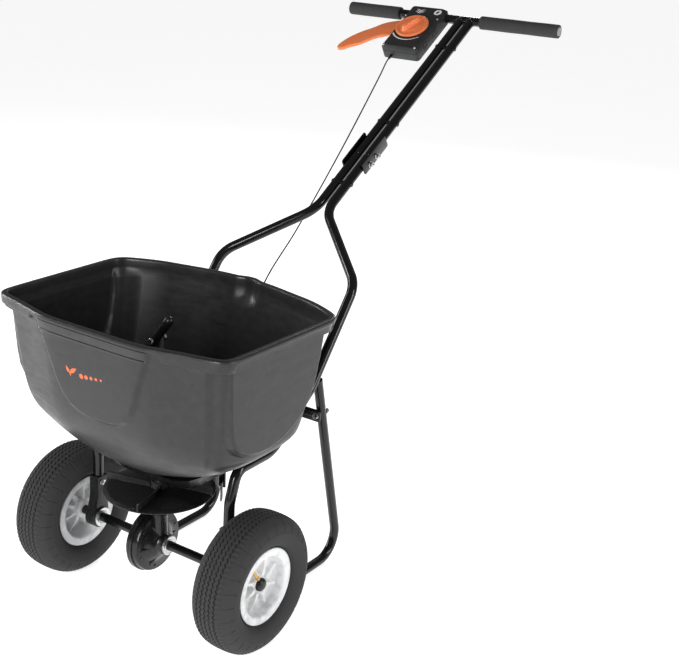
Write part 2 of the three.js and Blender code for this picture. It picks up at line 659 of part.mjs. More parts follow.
const drumFar = aroundAxle([[HOUSING_FAR_X, 0], [HOUSING_FAR_X, HOUSING_R - 5],
  [HOUSING_FAR_X + 3, HOUSING_R], [HOUSING_SPLIT_X, HOUSING_R], [HOUSING_SPLIT_X, 0]], 28);
const farRoom = aroundAxle([[HOUSING_FAR_X + HOUSING_WALL, 0], [HOUSING_FAR_X + HOUSING_WALL, HOUSING_R - 4],
  [HOUSING_SPLIT_X + 5, HOUSING_R - 4], [HOUSING_SPLIT_X + 5, 0]], 28);
piece(spreader, 'gearbox_cover', PAINT, cut(drumFar, farRoom, axleBore));
piece(spreader, 'gearbox_bearing', ZINC, aroundAxle(loop([[12, AXLE_R + 0.5], [27, AXLE_R + 0.5],
  [27, 17], [22.4, 18.5], [22.4, 13.9], [12, 13.9]]), 18));

// ---------------------------------------------------------------- axle, ring gear and wheels
const drive = new THREE.Group();
drive.position.set(0, 0, AXLE_Z);
spreader.add(drive);
piece(drive, 'axle', PAINT, rodX(-AXLE_HALF, AXLE_HALF, AXLE_R, 0, 0, 18));

const TOOTH_HALF = 1.15;
function ringGear() {
  const face = -PINION_PITCH_R - TOOTH_ROOT;
  const blank = turnedX(loop([[-27, AXLE_R + GAP], [-27, 16], [-24, 16], [-24, 20], [-19, 30], [-19, 50],
    [face, 50], [face, 34], [-15, 28], [-15, AXLE_R + GAP]]), 24);
  const teeth = [];
  for (let i = 0; i < GEAR_TEETH; i += 1) {
    const profile = [[face - 0.5, -TOOTH_HALF * 1.75], [-PINION_PITCH_R, -TOOTH_HALF],
      [-PINION_PITCH_R + TOOTH_TIP, -TOOTH_HALF * 0.45], [-PINION_PITCH_R + TOOTH_TIP, TOOTH_HALF * 0.45],
      [-PINION_PITCH_R, TOOTH_HALF], [face - 0.5, TOOTH_HALF * 1.75]];
    const tooth = plate(profile, GEAR_MID_R - 6, GEAR_MID_R + 6);
    teeth.push(tooth.rotateX((i + 0.5) * 2 * Math.PI / GEAR_TEETH));
  }
  return join(blank, ...teeth);
}
piece(drive, 'ring_gear', MATTE, ringGear());

const RIB_COUNT = 8;
function wheelRim() {
  const x = RIM_FLANGE_X;
  const barrel = turnedX(loop([[-x, RIM_FLANGE_R - 2], [-x, 58], [-9, 54], [3, 54], [3, 18], [-26, 17],
    [-26, AXLE_R + GAP], [18, AXLE_R + GAP], [18, 16], [9, 19], [9, 54], [x - 7, 58], [x, 64],
    [x, RIM_FLANGE_R],
    [x - 3.5, RIM_FLANGE_R], [x - 4, RIM_SEAT_R], [-x + 4, RIM_SEAT_R], [-x + 3.5, RIM_FLANGE_R - 2]]), 24);
  const ribs = [];
  for (let i = 0; i < RIB_COUNT; i += 1) {
    const rib = plate([[7, 15], [15, 15], [19, 40], [21, 58], [7, 58]], -2, 2);
    ribs.push(rib.rotateX((i + 0.5) * 2 * Math.PI / RIB_COUNT));
  }
  return join(barrel, ...ribs);
}

function tyre() {
  const outer = [[28.6, 62.2], [28.6, 72.8], [40, 83], [44, 98], [41, 113], [25, 127], [0, 130]];
  const inner = [[0, 123], [26, 118], [37, 98], [25, 74], [24, 62.2]];
  const outerBack = outer.slice(0, -1).reverse().map(([x, r]) => [-x, r]);
  const innerBack = inner.slice(1).map(([x, r]) => [x, r]).reverse();
  const innerFront = inner.map(([x, r]) => [-x, r]).reverse();
  return turnedX(loop([...outer, ...outerBack, ...innerFront.slice(0, -1), inner[0],
    ...innerBack.reverse()]), 30);
}

function wheel(group, side, name) {
  const hub = new THREE.Group();
  hub.position.x = side * WHEEL_X;
  hub.rotation.z = side < 0 ? Math.PI : 0;
  group.add(hub);
  piece(hub, `wheel_rim_${name}`, WHITE, wheelRim());
  piece(hub, `tyre_${name}`, RUBBER, tyre());
  const stem = new THREE.CylinderGeometry(3, 3.4, 25, 12).translate(0, 39.5, 0);
  const cap = new THREE.CylinderGeometry(4, 4, 8, 12).translate(0, 26, 0);
  const valve = join(stem, cap).rotateX(VALVE_TURN).translate(24.5, 0, 0);
  piece(hub, `valve_${name}`, BRASS, valve);
  return hub;
}

const rightHub = wheel(drive, 1, 'right');
const freeSide = new THREE.Group();
freeSide.position.set(0, 0, AXLE_Z);
spreader.add(freeSide);
wheel(freeSide, -1, 'left');

const drivePin = join(rodY(-20, 21, 2.4, 13, 0, 10), rodY(-24, -19.8, 3.7, 13, 0, 10));
const pinHoles = rodY(-30, 30, 2.7, 13, 0, 10);
for (const name of ['wheel_rim_right']) {
  const rim = rightHub.getObjectByName(name);
  rim.geometry = closed(cut(rim.geometry, pinHoles));
}
const axleMesh = drive.getObjectByName('axle');
axleMesh.geometry = closed(cut(axleMesh.geometry, pinHoles.clone().translate(WHEEL_X, 0, 0)));
piece(rightHub, 'drive_pin', ZINC, drivePin);

// Push-on caps that keep the wheels on the axle.
for (const [side, name] of [[-1, 'left'], [1, 'right']]) {
  const cap = turnedX([[24.3, 0], [24.3, AXLE_R + GAP], [18.4, AXLE_R + GAP], [18.4, 12.5], [24.6, 12.5],
    [27.2, 10.8], [28.5, 7.8], [28.5, 0]], 18);
  const onEnd = side < 0 ? cap.rotateZ(Math.PI) : cap;
  piece(drive, `axle_cap_${name}`, MATTE, shift(onEnd, side * WHEEL_X, 0, 0));
}

// ---------------------------------------------------------------- spinner
const spinner = new THREE.Group();
spreader.add(spinner);
const shaftBody = rodZ(PINION_LOW_Z - 2, SHAFT_TOP_Z, SHAFT_R, 0, 0, 16);
const agitatorBolt = rodY(-60, 60, 3.3, 0, 536, 10);
piece(spinner, 'spinner_shaft', STEEL, cut(shaftBody, agitatorBolt));

function spinnerDisc() {
  const dish = turnedZ(loop([[DISC_Z - 10, SHAFT_R + GAP], [DISC_Z - 10, 17], [DISC_Z, 20], [DISC_Z, 94],
    [DISC_Z - 3, DISC_R - 1], [DISC_Z + 1, DISC_R], [DISC_Z + 3, 94], [DISC_Z + 3, 24], [DISC_Z + 14, 13],
    [DISC_Z + 14, SHAFT_R + GAP]]), 28);
  const vanes = [];
  for (let i = 0; i < 4; i += 1) {
    const vane = plate([[14, DISC_Z + 1], [DISC_R, DISC_Z - 8], [DISC_R, DISC_Z + 13], [70, DISC_Z + 18],
      [14, DISC_Z + 13]], -1.5, 1.5).rotateX(Math.PI / 2).translate(0, 8, 0);
    vanes.push(vane.rotateZ(-1.3 + i * Math.PI / 2));
  }
  return join(dish, ...vanes);
}
piece(spinner, 'spinner_disc', SPINNER_PLASTIC, spinnerDisc());

function pinion() {
  const blank = rodZ(PINION_LOW_Z, PINION_HIGH_Z, PINION_PITCH_R - TOOTH_ROOT + 0.4, 0, 0, 16);
  const teeth = [];
  for (let i = 0; i < PINION_TEETH; i += 1) {
    const root = PINION_PITCH_R - TOOTH_ROOT - 0.6;
    const profile = [[root, -1.7], [PINION_PITCH_R, -1.25], [PINION_PITCH_R + TOOTH_TIP, -0.5],
      [PINION_PITCH_R + TOOTH_TIP, 0.5], [PINION_PITCH_R, 1.25], [root, 1.7]];
    teeth.push(plate(profile, PINION_LOW_Z, PINION_HIGH_Z).rotateZ(Math.PI + i * 2 * Math.PI / PINION_TEETH));
  }
  return cut(join(blank, ...teeth), rodZ(PINION_LOW_Z - 5, PINION_HIGH_Z + 5, SHAFT_R + GAP, 0, 0, 20));
}
piece(spinner, 'pinion', STEEL, pinion());

const AGITATOR_LEAN = THREE.MathUtils.degToRad(37);
const arm = new THREE.CapsuleGeometry(8.5, 111, 3, 12).rotateX(Math.PI / 2);
const armBody = arm.rotateY(AGITATOR_LEAN).translate(0, -SHAFT_R - 8.5 - GAP, 536);
piece(spinner, 'agitator_arm', MATTE, cut(armBody, agitatorBolt));
const stirBolt = join(rodY(-26.5, 14, 3, 0, 536, 10), rodY(-28, -23.9, 6.2, 0, 536, 6),
  rodY(7, 12.5, 6.2, 0, 536, 6));
piece(spinner, 'agitator_bolt', ZINC, stirBolt);

// ---------------------------------------------------------------- control cable
const CABLE_R = 1.5;
const CABLE_ROUTE = [
  [-122, 909.1, 951.1], [-121.5, 889, 938], [-112, 846, 908], [-82, 660, 767], [-56, 474, 632],
  [-40, 352, 552], [-22, 280, 480], [-8, 250, 390], [-1, 238, 320],
  [0, 224, 281], [0, 207, 272], [0, 190.4, 271.5]];

class CableRun extends THREE.CatmullRomCurve3 {
  constructor(points) {
    super(points.map((p) => new THREE.Vector3(...p)), false, 'centripetal');
  }
}
const cableLine = new CableRun(CABLE_ROUTE);
const cableSection = new THREE.Shape(circle(CABLE_R, 8).map(([x, y]) => new THREE.Vector2(x, y)));
piece(spreader, 'control_cable', RUBBER,
  new THREE.ExtrudeGeometry(cableSection, { steps: 44, bevelEnabled: false, extrudePath: cableLine }));

const anchorTab = box(-14, 14, 113, 116, 281, 303);
const anchorArm = box(-9, 9, 113, 190, 300, 303);
const anchorEnd = box(-9, 9, 186.5, 190, 264, 303);
const wirePass = rodY(180, 195, 1.2, 0, 271.5, 10);
piece(spreader, 'cable_anchor', PAINT, cut(join(anchorTab, anchorArm, anchorEnd), wirePass));

export default spreader;
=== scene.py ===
"""Walk-behind broadcast spreader: finer pieces, finishes, camera, light and floor.

Sizes in the classes are millimetres about the layout point, which is on the ground straight below the
spinner shaft: x runs along the axle, y to the rear and z up. The workshop moves every piece from there
to the machine's own origin and turns it into metres.
"""

import logging
import math
from dataclasses import dataclass
from enum import Enum
from typing import Sequence

import bmesh
import bpy
import numpy as np
from mathutils import Matrix, Vector


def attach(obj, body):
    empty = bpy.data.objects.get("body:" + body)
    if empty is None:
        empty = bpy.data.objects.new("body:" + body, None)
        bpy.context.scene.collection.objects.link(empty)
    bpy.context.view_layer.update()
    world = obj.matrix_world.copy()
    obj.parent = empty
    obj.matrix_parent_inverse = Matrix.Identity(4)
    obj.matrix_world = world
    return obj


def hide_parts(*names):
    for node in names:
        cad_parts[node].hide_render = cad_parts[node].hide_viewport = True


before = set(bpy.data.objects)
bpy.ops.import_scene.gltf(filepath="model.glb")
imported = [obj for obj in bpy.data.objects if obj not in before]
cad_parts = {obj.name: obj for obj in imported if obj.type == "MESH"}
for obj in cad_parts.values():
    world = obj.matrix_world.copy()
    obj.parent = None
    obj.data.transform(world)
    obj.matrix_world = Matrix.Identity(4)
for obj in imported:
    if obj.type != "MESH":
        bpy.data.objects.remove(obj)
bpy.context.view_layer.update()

LOG = logging.getLogger("spreader")
Array = np.ndarray
Point = tuple[float, float, float]

METRES = 0.001
LAYOUT_SHIFT = np.array([26.0, -432.0, 0.0])
TURN = 2 * math.pi

# Stands a flat shape up so that its face looks along x, its first direction along y.
FACING_X = Matrix(((0, 0, 1, 0), (1, 0, 0, 0), (0, 1, 0, 0), (0, 0, 0, 1)))
# Stands a flat shape up so that its face looks along y.
FACING_Y = Matrix(((1, 0, 0, 0), (0, 0, 1, 0), (0, 1, 0, 0), (0, 0, 0, 1)))
# Stands a flat shape up in the plane of x and z, with its thickness along y.
STANDING = Matrix(((1, 0, 0, 0), (0, 0, -1, 0), (0, 1, 0, 0), (0, 0, 0, 1)))
# Turns a shape that runs along x so that it runs along y.
ALONG_Y = Matrix(((0, -1, 0, 0), (1, 0, 0, 0), (0, 0, 1, 0), (0, 0, 0, 1)))
# Lays a flat shape on a side wall, with its length kept along y.
ON_SIDE = Matrix(((0, 0, 1, 0), (0, 1, 0, 0), (-1, 0, 0, 0), (0, 0, 0, 1)))


class Body(Enum):
    """The moving and fixed bodies of the machine."""

    FRAME = "frame"
    DRIVE = "drive"
    FREE_WHEEL = "free_wheel"
    SPINNER = "spinner"
    SHUTTER = "shutter"
    LEVER = "lever"
    DIAL = "dial"


class Slot(Enum):
    """The material slots of the record."""

    PAINT = "frame_paint"
    HOPPER = "hopper_plastic"
    DARK = "dark_plastic"
    SPINNER = "spinner_plastic"
    BOX = "box_plastic"
    TYRE = "tyre_rubber"
    CABLE = "cable_rubber"
    FOAM = "grip_foam"
    WHITE = "wheel_white"
    ORANGE = "orange_plastic"
    ZINC = "zinc"
    BRASS = "brass"
    STEEL = "steel"
    PLUG = "plug_grey"


class Axis(Enum):
    """A main axis, as its index and its unit vector."""

    X = (1.0, 0.0, 0.0)
    Y = (0.0, 1.0, 0.0)
    Z = (0.0, 0.0, 1.0)


# ---------------------------------------------------------------- lines and outlines
def unit(vector: Array) -> Array:
    """The vector at length one."""
    return vector / max(float(np.linalg.norm(vector)), 1e-12)


def smoothstep(low: float, high: float, value: Array) -> Array:
    """Rises smoothly from 0 at low to 1 at high.

    Args:
        low: Where the rise starts.
        high: Where the rise ends.
        value: The values to map.

    Returns:
        The mapped values.
    """
    part = np.clip((value - low) / (high - low), 0.0, 1.0)
    return part * part * (3.0 - 2.0 * part)


def eased_line(
    points: Sequence[Sequence[float]],
    radius: float | Sequence[float],
    steps: int = 4,
    closed: bool = False,
) -> Array:
    """Rounds the corners of a line of straight lengths.

    Args:
        points: The corners, in two or three dimensions.
        radius: One radius for all corners, or one for each point.
        steps: How many lengths each arc has.
        closed: True where the last point joins the first.

    Returns:
        The points of the rounded line.
    """
    spots = [np.array(p, float) for p in points]
    count = len(spots)
    radii = [float(radius)] * count if np.isscalar(radius) else list(radius)
    line: list[Array] = []
    for i, corner in enumerate(spots):
        if not closed and i in (0, count - 1):
            line.append(corner)
            continue
        before, after = corner - spots[i - 1], spots[(i + 1) % count] - corner
        d0, d1 = unit(before), unit(after)
        turn = math.acos(float(np.clip(d0 @ d1, -1.0, 1.0)))
        if turn < 1e-3 or radii[i] <= 0:
            line.append(corner)
            continue
        room = 0.48 * min(float(np.linalg.norm(before)), float(np.linalg.norm(after)))
        reach = min(radii[i] * math.tan(turn / 2), room)
        bend = reach / math.tan(turn / 2)
        side = unit(d1 - d0 * float(d0 @ d1))
        centre = corner - d0 * reach + side * bend
        for k in range(steps + 1):
            angle = turn * k / steps
            line.append(centre - side * bend * math.cos(angle) + d0 * bend * math.sin(angle))
    return np.array(line)


def even_loop(points: Array, count: int) -> Array:
    """Spreads a closed outline into evenly spaced points.

    Args:
        points: The outline, without a repeated last point.
        count: How many points it gets.

    Returns:
        The evenly spaced outline.
    """
    ring = np.vstack([points, points[:1]])
    lengths = np.linalg.norm(np.diff(ring, axis=0), axis=1)
    along = np.concatenate([[0.0], np.cumsum(lengths)])
    wanted = np.linspace(0.0, along[-1], count, endpoint=False)
    return np.stack([np.interp(wanted, along, ring[:, k]) for k in range(ring.shape[1])], axis=1)


def chaikin(points: Array, rounds: int) -> Array:
    """Cuts the corners of a closed outline a few times, so that it becomes smooth."""
    for _ in range(rounds):
        after = np.roll(points, -1, axis=0)
        points = np.stack([0.75 * points + 0.25 * after, 0.25 * points + 0.75 * after], axis=1)
        points = points.reshape(-1, points.shape[-1])
    return points


def smooth_curve(points: Sequence[Sequence[float]], steps: int, closed: bool = False) -> Array:
    """A smooth curve through all the points.

    Args:
        points: The points that it passes.
        steps: How many lengths lie between two points.
        closed: True where the last point joins the first.

    Returns:
        The points of the curve.
    """
    spots = np.array(points, float)
    count = len(spots)
    spans = count if closed else count - 1
    line: list[Array] = []
    for i in range(spans):
        if closed:
            a, b, c, d = (spots[(i + k) % count] for k in (-1, 0, 1, 2))
        else:
            b, c = spots[i], spots[i + 1]
            a = spots[i - 1] if i > 0 else 2 * b - c
            d = spots[i + 2] if i + 2 < count else 2 * c - b
        for k in range(steps):
            t = k / steps
            line.append(
                0.5
                * (
                    2 * b
                    + (c - a) * t
                    + (2 * a - 5 * b + 4 * c - d) * t**2
                    + (3 * b - a - 3 * c + d) * t**3
                )
            )
    if not closed:
        line.append(spots[-1])
    return np.array(line)


def circle(radius: float, sides: int, x: float = 0.0, y: float = 0.0) -> Array:
    """A round outline about a point."""
    angles = np.arange(sides) * TURN / sides
    return np.stack([x + radius * np.cos(angles), y + radius * np.sin(angles)], axis=1)


def rounded_rect(x0: float, x1: float, y0: float, y1: float, radius: float, steps: int = 5) -> Array:
    """The outline of a rectangle with round corners."""
    return eased_line([(x1, y0), (x1, y1), (x0, y1), (x0, y0)], radius, steps, closed=True)


def distance_inside(points: Array, outline: Array) -> Array:
    """How far points lie inside an outline; points outside it count as negative.

    Args:
        points: The points, one to a row, in two dimensions.
        outline: The closed outline.

    Returns:
        One distance for each point.
    """
    best = np.full(len(points), 1e9)
    inside = np.zeros(len(points), bool)
    for a, b in zip(outline, np.roll(outline, -1, axis=0)):
        edge = b - a
        length = max(float(edge @ edge), 1e-12)
        share = np.clip(((points - a) @ edge) / length, 0.0, 1.0)
        best = np.minimum(best, np.linalg.norm(points - a - share[:, None] * edge, axis=1))
        crosses = (a[1] > points[:, 1]) != (b[1] > points[:, 1])
        rise = edge[1] if abs(edge[1]) > 1e-12 else 1e-12
        where = a[0] + (points[:, 1] - a[1]) * edge[0] / rise
        inside ^= crosses & (points[:, 0] < where)
    return np.where(inside, best, -best)


# ---------------------------------------------------------------- shapes
class Shape:
    """Points and faces of a mesh while it is made, in millimetres."""

    def __init__(self, points: Array, faces: list[tuple[int, ...]]) -> None:
        """Keeps the points and the faces."""
        self.points = np.asarray(points, float).reshape(-1, 3)
        self.faces = faces

    @classmethod
    def grid(
        cls,
        rows: Array,
        wrap_rows: bool = False,
        wrap_columns: bool = True,
        cap_start: bool = False,
        cap_end: bool = False,
    ) -> "Shape":
        """Joins rows of points into a skin of four-sided faces.

        Args:
            rows: Points with one row of the skin to each first index.
            wrap_rows: True where the last row joins the first.
            wrap_columns: True where each row is a closed ring.
            cap_start: True to close the first ring with one face.
            cap_end: True to close the last ring with one face.

        Returns:
            The skin.
        """
        rows = np.asarray(rows, float)
        height, width = rows.shape[:2]
        tall = height if wrap_rows else height - 1
        wide = width if wrap_columns else width - 1
        i, j = np.meshgrid(np.arange(tall), np.arange(wide), indexing="ij")
        i2, j2 = (i + 1) % height, (j + 1) % width
        quads = np.stack([i * width + j, i * width + j2, i2 * width + j2, i2 * width + j], axis=-1)
        faces = [tuple(q) for q in quads.reshape(-1, 4).tolist()]
        if cap_start:
            faces.append(tuple(range(width - 1, -1, -1)))
        if cap_end:
            faces.append(tuple((height - 1) * width + k for k in range(width)))
        return cls(rows.reshape(-1, 3), faces)

    @classmethod
    def turned(cls, profile: Array, sides: int, axis: Axis = Axis.X, closed: bool = False) -> "Shape":
        """Turns a profile round an axis.

        Args:
            profile: Points of distance along the axis and radius.
            sides: How many steps the turn has.
            axis: The axis of the turn.
            closed: True where the profile's last point joins its first, as in a ring.

        Returns:
            The turned shape.
        """
        profile = np.asarray(profile, float)
        angles = np.arange(sides) * TURN / sides
        along = np.repeat(profile[:, 0][:, None], sides, axis=1)
        first = profile[:, 1][:, None] * np.cos(angles)
        second = profile[:, 1][:, None] * np.sin(angles)
        order = {
            Axis.X: (along, first, second),
            Axis.Y: (second, along, first),
            Axis.Z: (first, second, along),
        }[axis]
        return cls.grid(np.stack(order, axis=-1), wrap_rows=closed)

    @classmethod
    def swept(
        cls,
        path: Sequence[Sequence[float]],
        radius: float | Array,
        sides: int = 32,
        wall: float = 0.0,
    ) -> "Shape":
        """Runs a round section along a path.

        Args:
            path: The centre line.
            radius: The outside radius, or one for each point of the path.
            sides: How many sides the section has.
            wall: The wall of a hollow tube, or 0 for a solid rod.

        Returns:
            The tube or rod.
        """
        line = np.asarray(path, float)
        heading = np.gradient(line, axis=0)
        heading /= np.linalg.norm(heading, axis=1)[:, None]
        helper = np.array([0.0, 0.0, 1.0]) if abs(heading[0][2]) < 0.9 else np.array([1.0, 0.0, 0.0])
        across = unit(np.cross(heading[0], helper))
        angles = np.arange(sides) * TURN / sides
        radii = np.broadcast_to(np.asarray(radius, float), (len(line),))
        outer, inner = [], []
        for spot, ahead, size in zip(line, heading, radii):
            across = unit(across - ahead * float(across @ ahead))
            other = np.cross(ahead, across)
            ring = np.cos(angles)[:, None] * across + np.sin(angles)[:, None] * other
            outer.append(spot + ring * size)
            inner.append(spot + ring * (size - wall))
        if wall > 0:
            return cls.grid(np.array(outer + inner[::-1]), wrap_rows=True)
        return cls.grid(np.array(outer), cap_start=True, cap_end=True)

    @classmethod
    def slab(cls, outline: Array, low: float, high: float) -> "Shape":
        """Raises an outline in the x and y plane from one height to another."""
        outline = np.asarray(outline, float)
        return cls.layered([(low, outline), (high, outline)])

    @classmethod
    def layered(cls, rings: Sequence[tuple[float, Array]]) -> "Shape":
        """Joins outlines that lie one above another, each given with its height."""
        rows = [np.column_stack([line, np.full(len(line), z)]) for z, line in rings]
        return cls.grid(np.array(rows), cap_start=True, cap_end=True)

    @classmethod
    def ring_slab(cls, outer: Array, inner: Array, low: float, high: float) -> "Shape":
        """A slab with a hole; both outlines have the same number of points."""
        rows = [(outer, low), (outer, high), (inner, high), (inner, low)]
        lifted = [np.column_stack([line, np.full(len(line), z)]) for line, z in rows]
        return cls.grid(np.array(lifted), wrap_rows=True)

    @classmethod
    def block(cls, x0: float, x1: float, y0: float, y1: float, z0: float, z1: float) -> "Shape":
        """A box between two corners."""
        return cls.slab(np.array([(x0, y0), (x1, y0), (x1, y1), (x0, y1)]), z0, z1)

    def placed(self, matrix: Matrix) -> "Shape":
        """The shape moved by a matrix."""
        grid = np.array(matrix, float)
        return Shape(self.points @ grid[:3, :3].T + grid[:3, 3], self.faces)

    def moved(self, x: float, y: float, z: float) -> "Shape":
        """The shape shifted."""
        return Shape(self.points + np.array([x, y, z]), self.faces)

    def spun(self, axis: Axis, angle: float) -> "Shape":
        """The shape turned about an axis through the layout point, in radians."""
        return self.placed(Matrix.Rotation(angle, 4, Vector(axis.value)))

    def mirrored(self) -> "Shape":
        """The shape's mirror image across the middle plane, with its faces turned outwards again."""
        points = self.points * np.array([-1.0, 1.0, 1.0])
        return Shape(points, [face[::-1] for face in self.faces])

    def plus(self, *others: "Shape") -> "Shape":
        """The shape with others beside it in one mesh."""
        points, faces = [self.points], list(self.faces)
        start = len(self.points)
        for other in others:
            points.append(other.points)
            faces.extend(tuple(k + start for k in face) for face in other.faces)
            start += len(other.points)
        return Shape(np.vstack(points), faces)

    def to_bmesh(self) -> bmesh.types.BMesh:
        """The shape as a bmesh with doubled points merged and faces turned outwards."""
        mesh = bpy.data.meshes.new("draft")
        mesh.from_pydata(self.points.tolist(), [], self.faces)
        made = bmesh.new()
        made.from_mesh(mesh)
        bpy.data.meshes.remove(mesh)
        bmesh.ops.remove_doubles(made, verts=made.verts, dist=1e-4)
        bmesh.ops.recalc_face_normals(made, faces=made.faces)
        return made

    @classmethod
    def from_bmesh(cls, made: bmesh.types.BMesh) -> "Shape":
        """Reads a bmesh back and frees it."""
        made.verts.index_update()
        points = np.array([v.co[:] for v in made.verts])
        faces = [tuple(v.index for v in face.verts) for face in made.faces]
        made.free()
        return cls(points, faces)

    def eased(self, width: float, segments: int = 2, limit: float = 35.0) -> "Shape":
        """Rounds the edges that are sharper than a limit.

        Args:
            width: How far from each edge the rounding starts.
            segments: How many faces the rounding has.
            limit: The angle in degrees from which an edge is rounded.

        Returns:
            The shape with round edges.
        """
        made = self.to_bmesh()
        sharp = [
            edge
            for edge in made.edges
            if len(edge.link_faces) == 2 and math.degrees(edge.calc_face_angle(0.0)) > limit
        ]
        bmesh.ops.bevel(
            made,
            geom=sharp,
            offset=width,
            offset_type="OFFSET",
            segments=segments,
            profile=0.5,
            affect="EDGES",
            clamp_overlap=True,
        )
        return Shape.from_bmesh(made)

    def minus(self, *cutters: "Shape") -> "Shape":
        """The shape with other shapes cut out of it."""
        rest = self
        for cutter in cutters:
            rest = rest.carved(cutter, "DIFFERENCE")
        return rest

    def carved(self, other: "Shape", operation: str) -> "Shape":
        """One boolean step between this shape and another.

        Args:
            other: The second shape.
            operation: DIFFERENCE, UNION or INTERSECT.

        Returns:
            The result of the step.
        """
        things = []
        for shape in (self, other):
            mesh = bpy.data.meshes.new("draft")
            made = shape.to_bmesh()
            made.to_mesh(mesh)
            made.free()
            thing = bpy.data.objects.new("draft", mesh)
            bpy.context.scene.collection.objects.link(thing)
            things.append(thing)
        step = things[0].modifiers.new("step", "BOOLEAN")
        step.operation = operation
        step.solver = "EXACT"
        step.object = things[1]
        graph = bpy.context.evaluated_depsgraph_get()
        result = bpy.data.meshes.new_from_object(things[0].evaluated_get(graph))
        made = bmesh.new()
        made.from_mesh(result)
        for thing in things:
            mesh = thing.data
            bpy.data.objects.remove(thing)
            bpy.data.meshes.remove(mesh)
        bpy.data.meshes.remove(result)
        return Shape.from_bmesh(made)


# ---------------------------------------------------------------- finishes
class NodeRig:
    """A material's nodes while they are wired together."""

    def __init__(self, name: str) -> None:
        """Starts a material with one surface shader and the piece's own coordinates."""
        self.material = bpy.data.materials.new(name)
        self.material.use_nodes = True
        self.tree = self.material.node_tree
        self.tree.nodes.clear()
        self.output = self.tree.nodes.new("ShaderNodeOutputMaterial")
        self.shader = self.tree.nodes.new("ShaderNodeBsdfPrincipled")
        self.tree.links.new(self.shader.outputs["BSDF"], self.output.inputs["Surface"])
        self.place = self.tree.nodes.new("ShaderNodeTexCoord").outputs["Object"]

    def node(self, kind: str, **settings: object) -> bpy.types.Node:
        """Adds a node and sets its options."""
        made = self.tree.nodes.new(kind)
        for key, value in settings.items():
            setattr(made, key, value)
        return made

    def link(self, source: bpy.types.NodeSocket, target: bpy.types.NodeSocket) -> None:
        """Joins two sockets."""
        self.tree.links.new(source, target)

    def stretched(self, scale: Point) -> bpy.types.NodeSocket:
        """The piece's coordinates, scaled along each axis."""
        made = self.node("ShaderNodeMapping")
        made.inputs["Scale"].default_value = scale
        self.link(self.place, made.inputs["Vector"])
        return made.outputs["Vector"]

    def noise(
        self,
        scale: float,
        detail: float = 2.0,
        rough: float = 0.5,
        place: bpy.types.NodeSocket | None = None,
    ) -> bpy.types.NodeSocket:
        """Cloudy variation.

        Args:
            scale: How many clouds there are to a metre, about.
            detail: How many finer layers it has.
            rough: How strong the finer layers are.
            place: The coordinates it is read at.

        Returns:
            The value.
        """
        made = self.node("ShaderNodeTexNoise")
        made.inputs["Scale"].default_value = scale
        made.inputs["Detail"].default_value = detail
        made.inputs["Roughness"].default_value = rough
        self.link(place or self.place, made.inputs["Vector"])
        return made.outputs["Fac"]

    def cells(self, scale: float) -> bpy.types.NodeSocket:
        """The distance to the nearest of many scattered points."""
        made = self.node("ShaderNodeTexVoronoi")
        made.inputs["Scale"].default_value = scale
        self.link(self.place, made.inputs["Vector"])
        return made.outputs["Distance"]

    def spread(
        self, value: bpy.types.NodeSocket, low: float, high: float, start: float = 0.0, end: float = 1.0
    ) -> bpy.types.NodeSocket:
        """Maps a value's range from start to end onto low to high."""
        made = self.node("ShaderNodeMapRange")
        made.inputs["From Min"].default_value = start
        made.inputs["From Max"].default_value = end
        made.inputs["To Min"].default_value = low
        made.inputs["To Max"].default_value = high
        self.link(value, made.inputs["Value"])
        return made.outputs["Result"]

    def tones(
        self, value: bpy.types.NodeSocket, stops: Sequence[tuple[float, Point]]
    ) -> bpy.types.NodeSocket:
        """Turns a value into a colour between the stops."""
        made = self.node("ShaderNodeValToRGB")
        ramp = made.color_ramp
        while len(ramp.elements) < len(stops):
            ramp.elements.new(0.5)
        for element, (position, colour) in zip(ramp.elements, stops):
            element.position = position
            element.color = (*colour, 1.0)
        self.link(value, made.inputs["Fac"])
        return made.outputs["Color"]

    def joined(
        self, first: bpy.types.NodeSocket, second: bpy.types.NodeSocket, operation: str = "ADD"
    ) -> bpy.types.NodeSocket:
        """One sum, product or other step between two values."""
        made = self.node("ShaderNodeMath", operation=operation)
        self.link(first, made.inputs[0])
        self.link(second, made.inputs[1])
        return made.outputs["Value"]

    def relief(
        self,
        height: bpy.types.NodeSocket,
        strength: float,
        depth: float,
        under: bpy.types.NodeSocket | None = None,
    ) -> bpy.types.NodeSocket:
        """Fine surface relief.

        Args:
            height: The height value.
            strength: How much of the relief shows.
            depth: The relief's depth in metres.
            under: A coarser relief below this one.

        Returns:
            The bent normal.
        """
        made = self.node("ShaderNodeBump")
        made.inputs["Strength"].default_value = strength
        made.inputs["Distance"].default_value = depth
        self.link(height, made.inputs["Height"])
        if under is not None:
            self.link(under, made.inputs["Normal"])
        self.link(made.outputs["Normal"], self.shader.inputs["Normal"])
        return made.outputs["Normal"]

    def set(self, **values: float | Point) -> None:
        """Sets uniform values on the shader's own sockets, such as coat_weight."""
        for key, value in values.items():
            socket = self.shader.inputs[key.replace("_", " ").title().replace("Ior", "IOR")]
            socket.default_value = (*value, 1.0) if isinstance(value, tuple) else value


@dataclass(frozen=True)
class Finish:
    """A surface finish that is the same material on every piece that has it."""

    name: str
    colour: Point
    slot: Slot
    rough: float = 0.5

    def dress(self, rig: NodeRig) -> None:
        """Wires the finish."""
        raise NotImplementedError

    def material(self) -> bpy.types.Material:
        """The finished material, made once."""
        ready = bpy.data.materials.get(self.name)
        if ready is None:
            rig = NodeRig(self.name)
            self.dress(rig)
            ready = rig.material
        return ready

    def shaded(self, dark: float, light: float) -> list[tuple[float, Point]]:
        """Two stops of the colour, one darker and one lighter."""
        low = tuple(c * dark for c in self.colour)
        high = tuple(min(c * light, 1.0) for c in self.colour)
        return [(0.3, low), (0.7, high)]


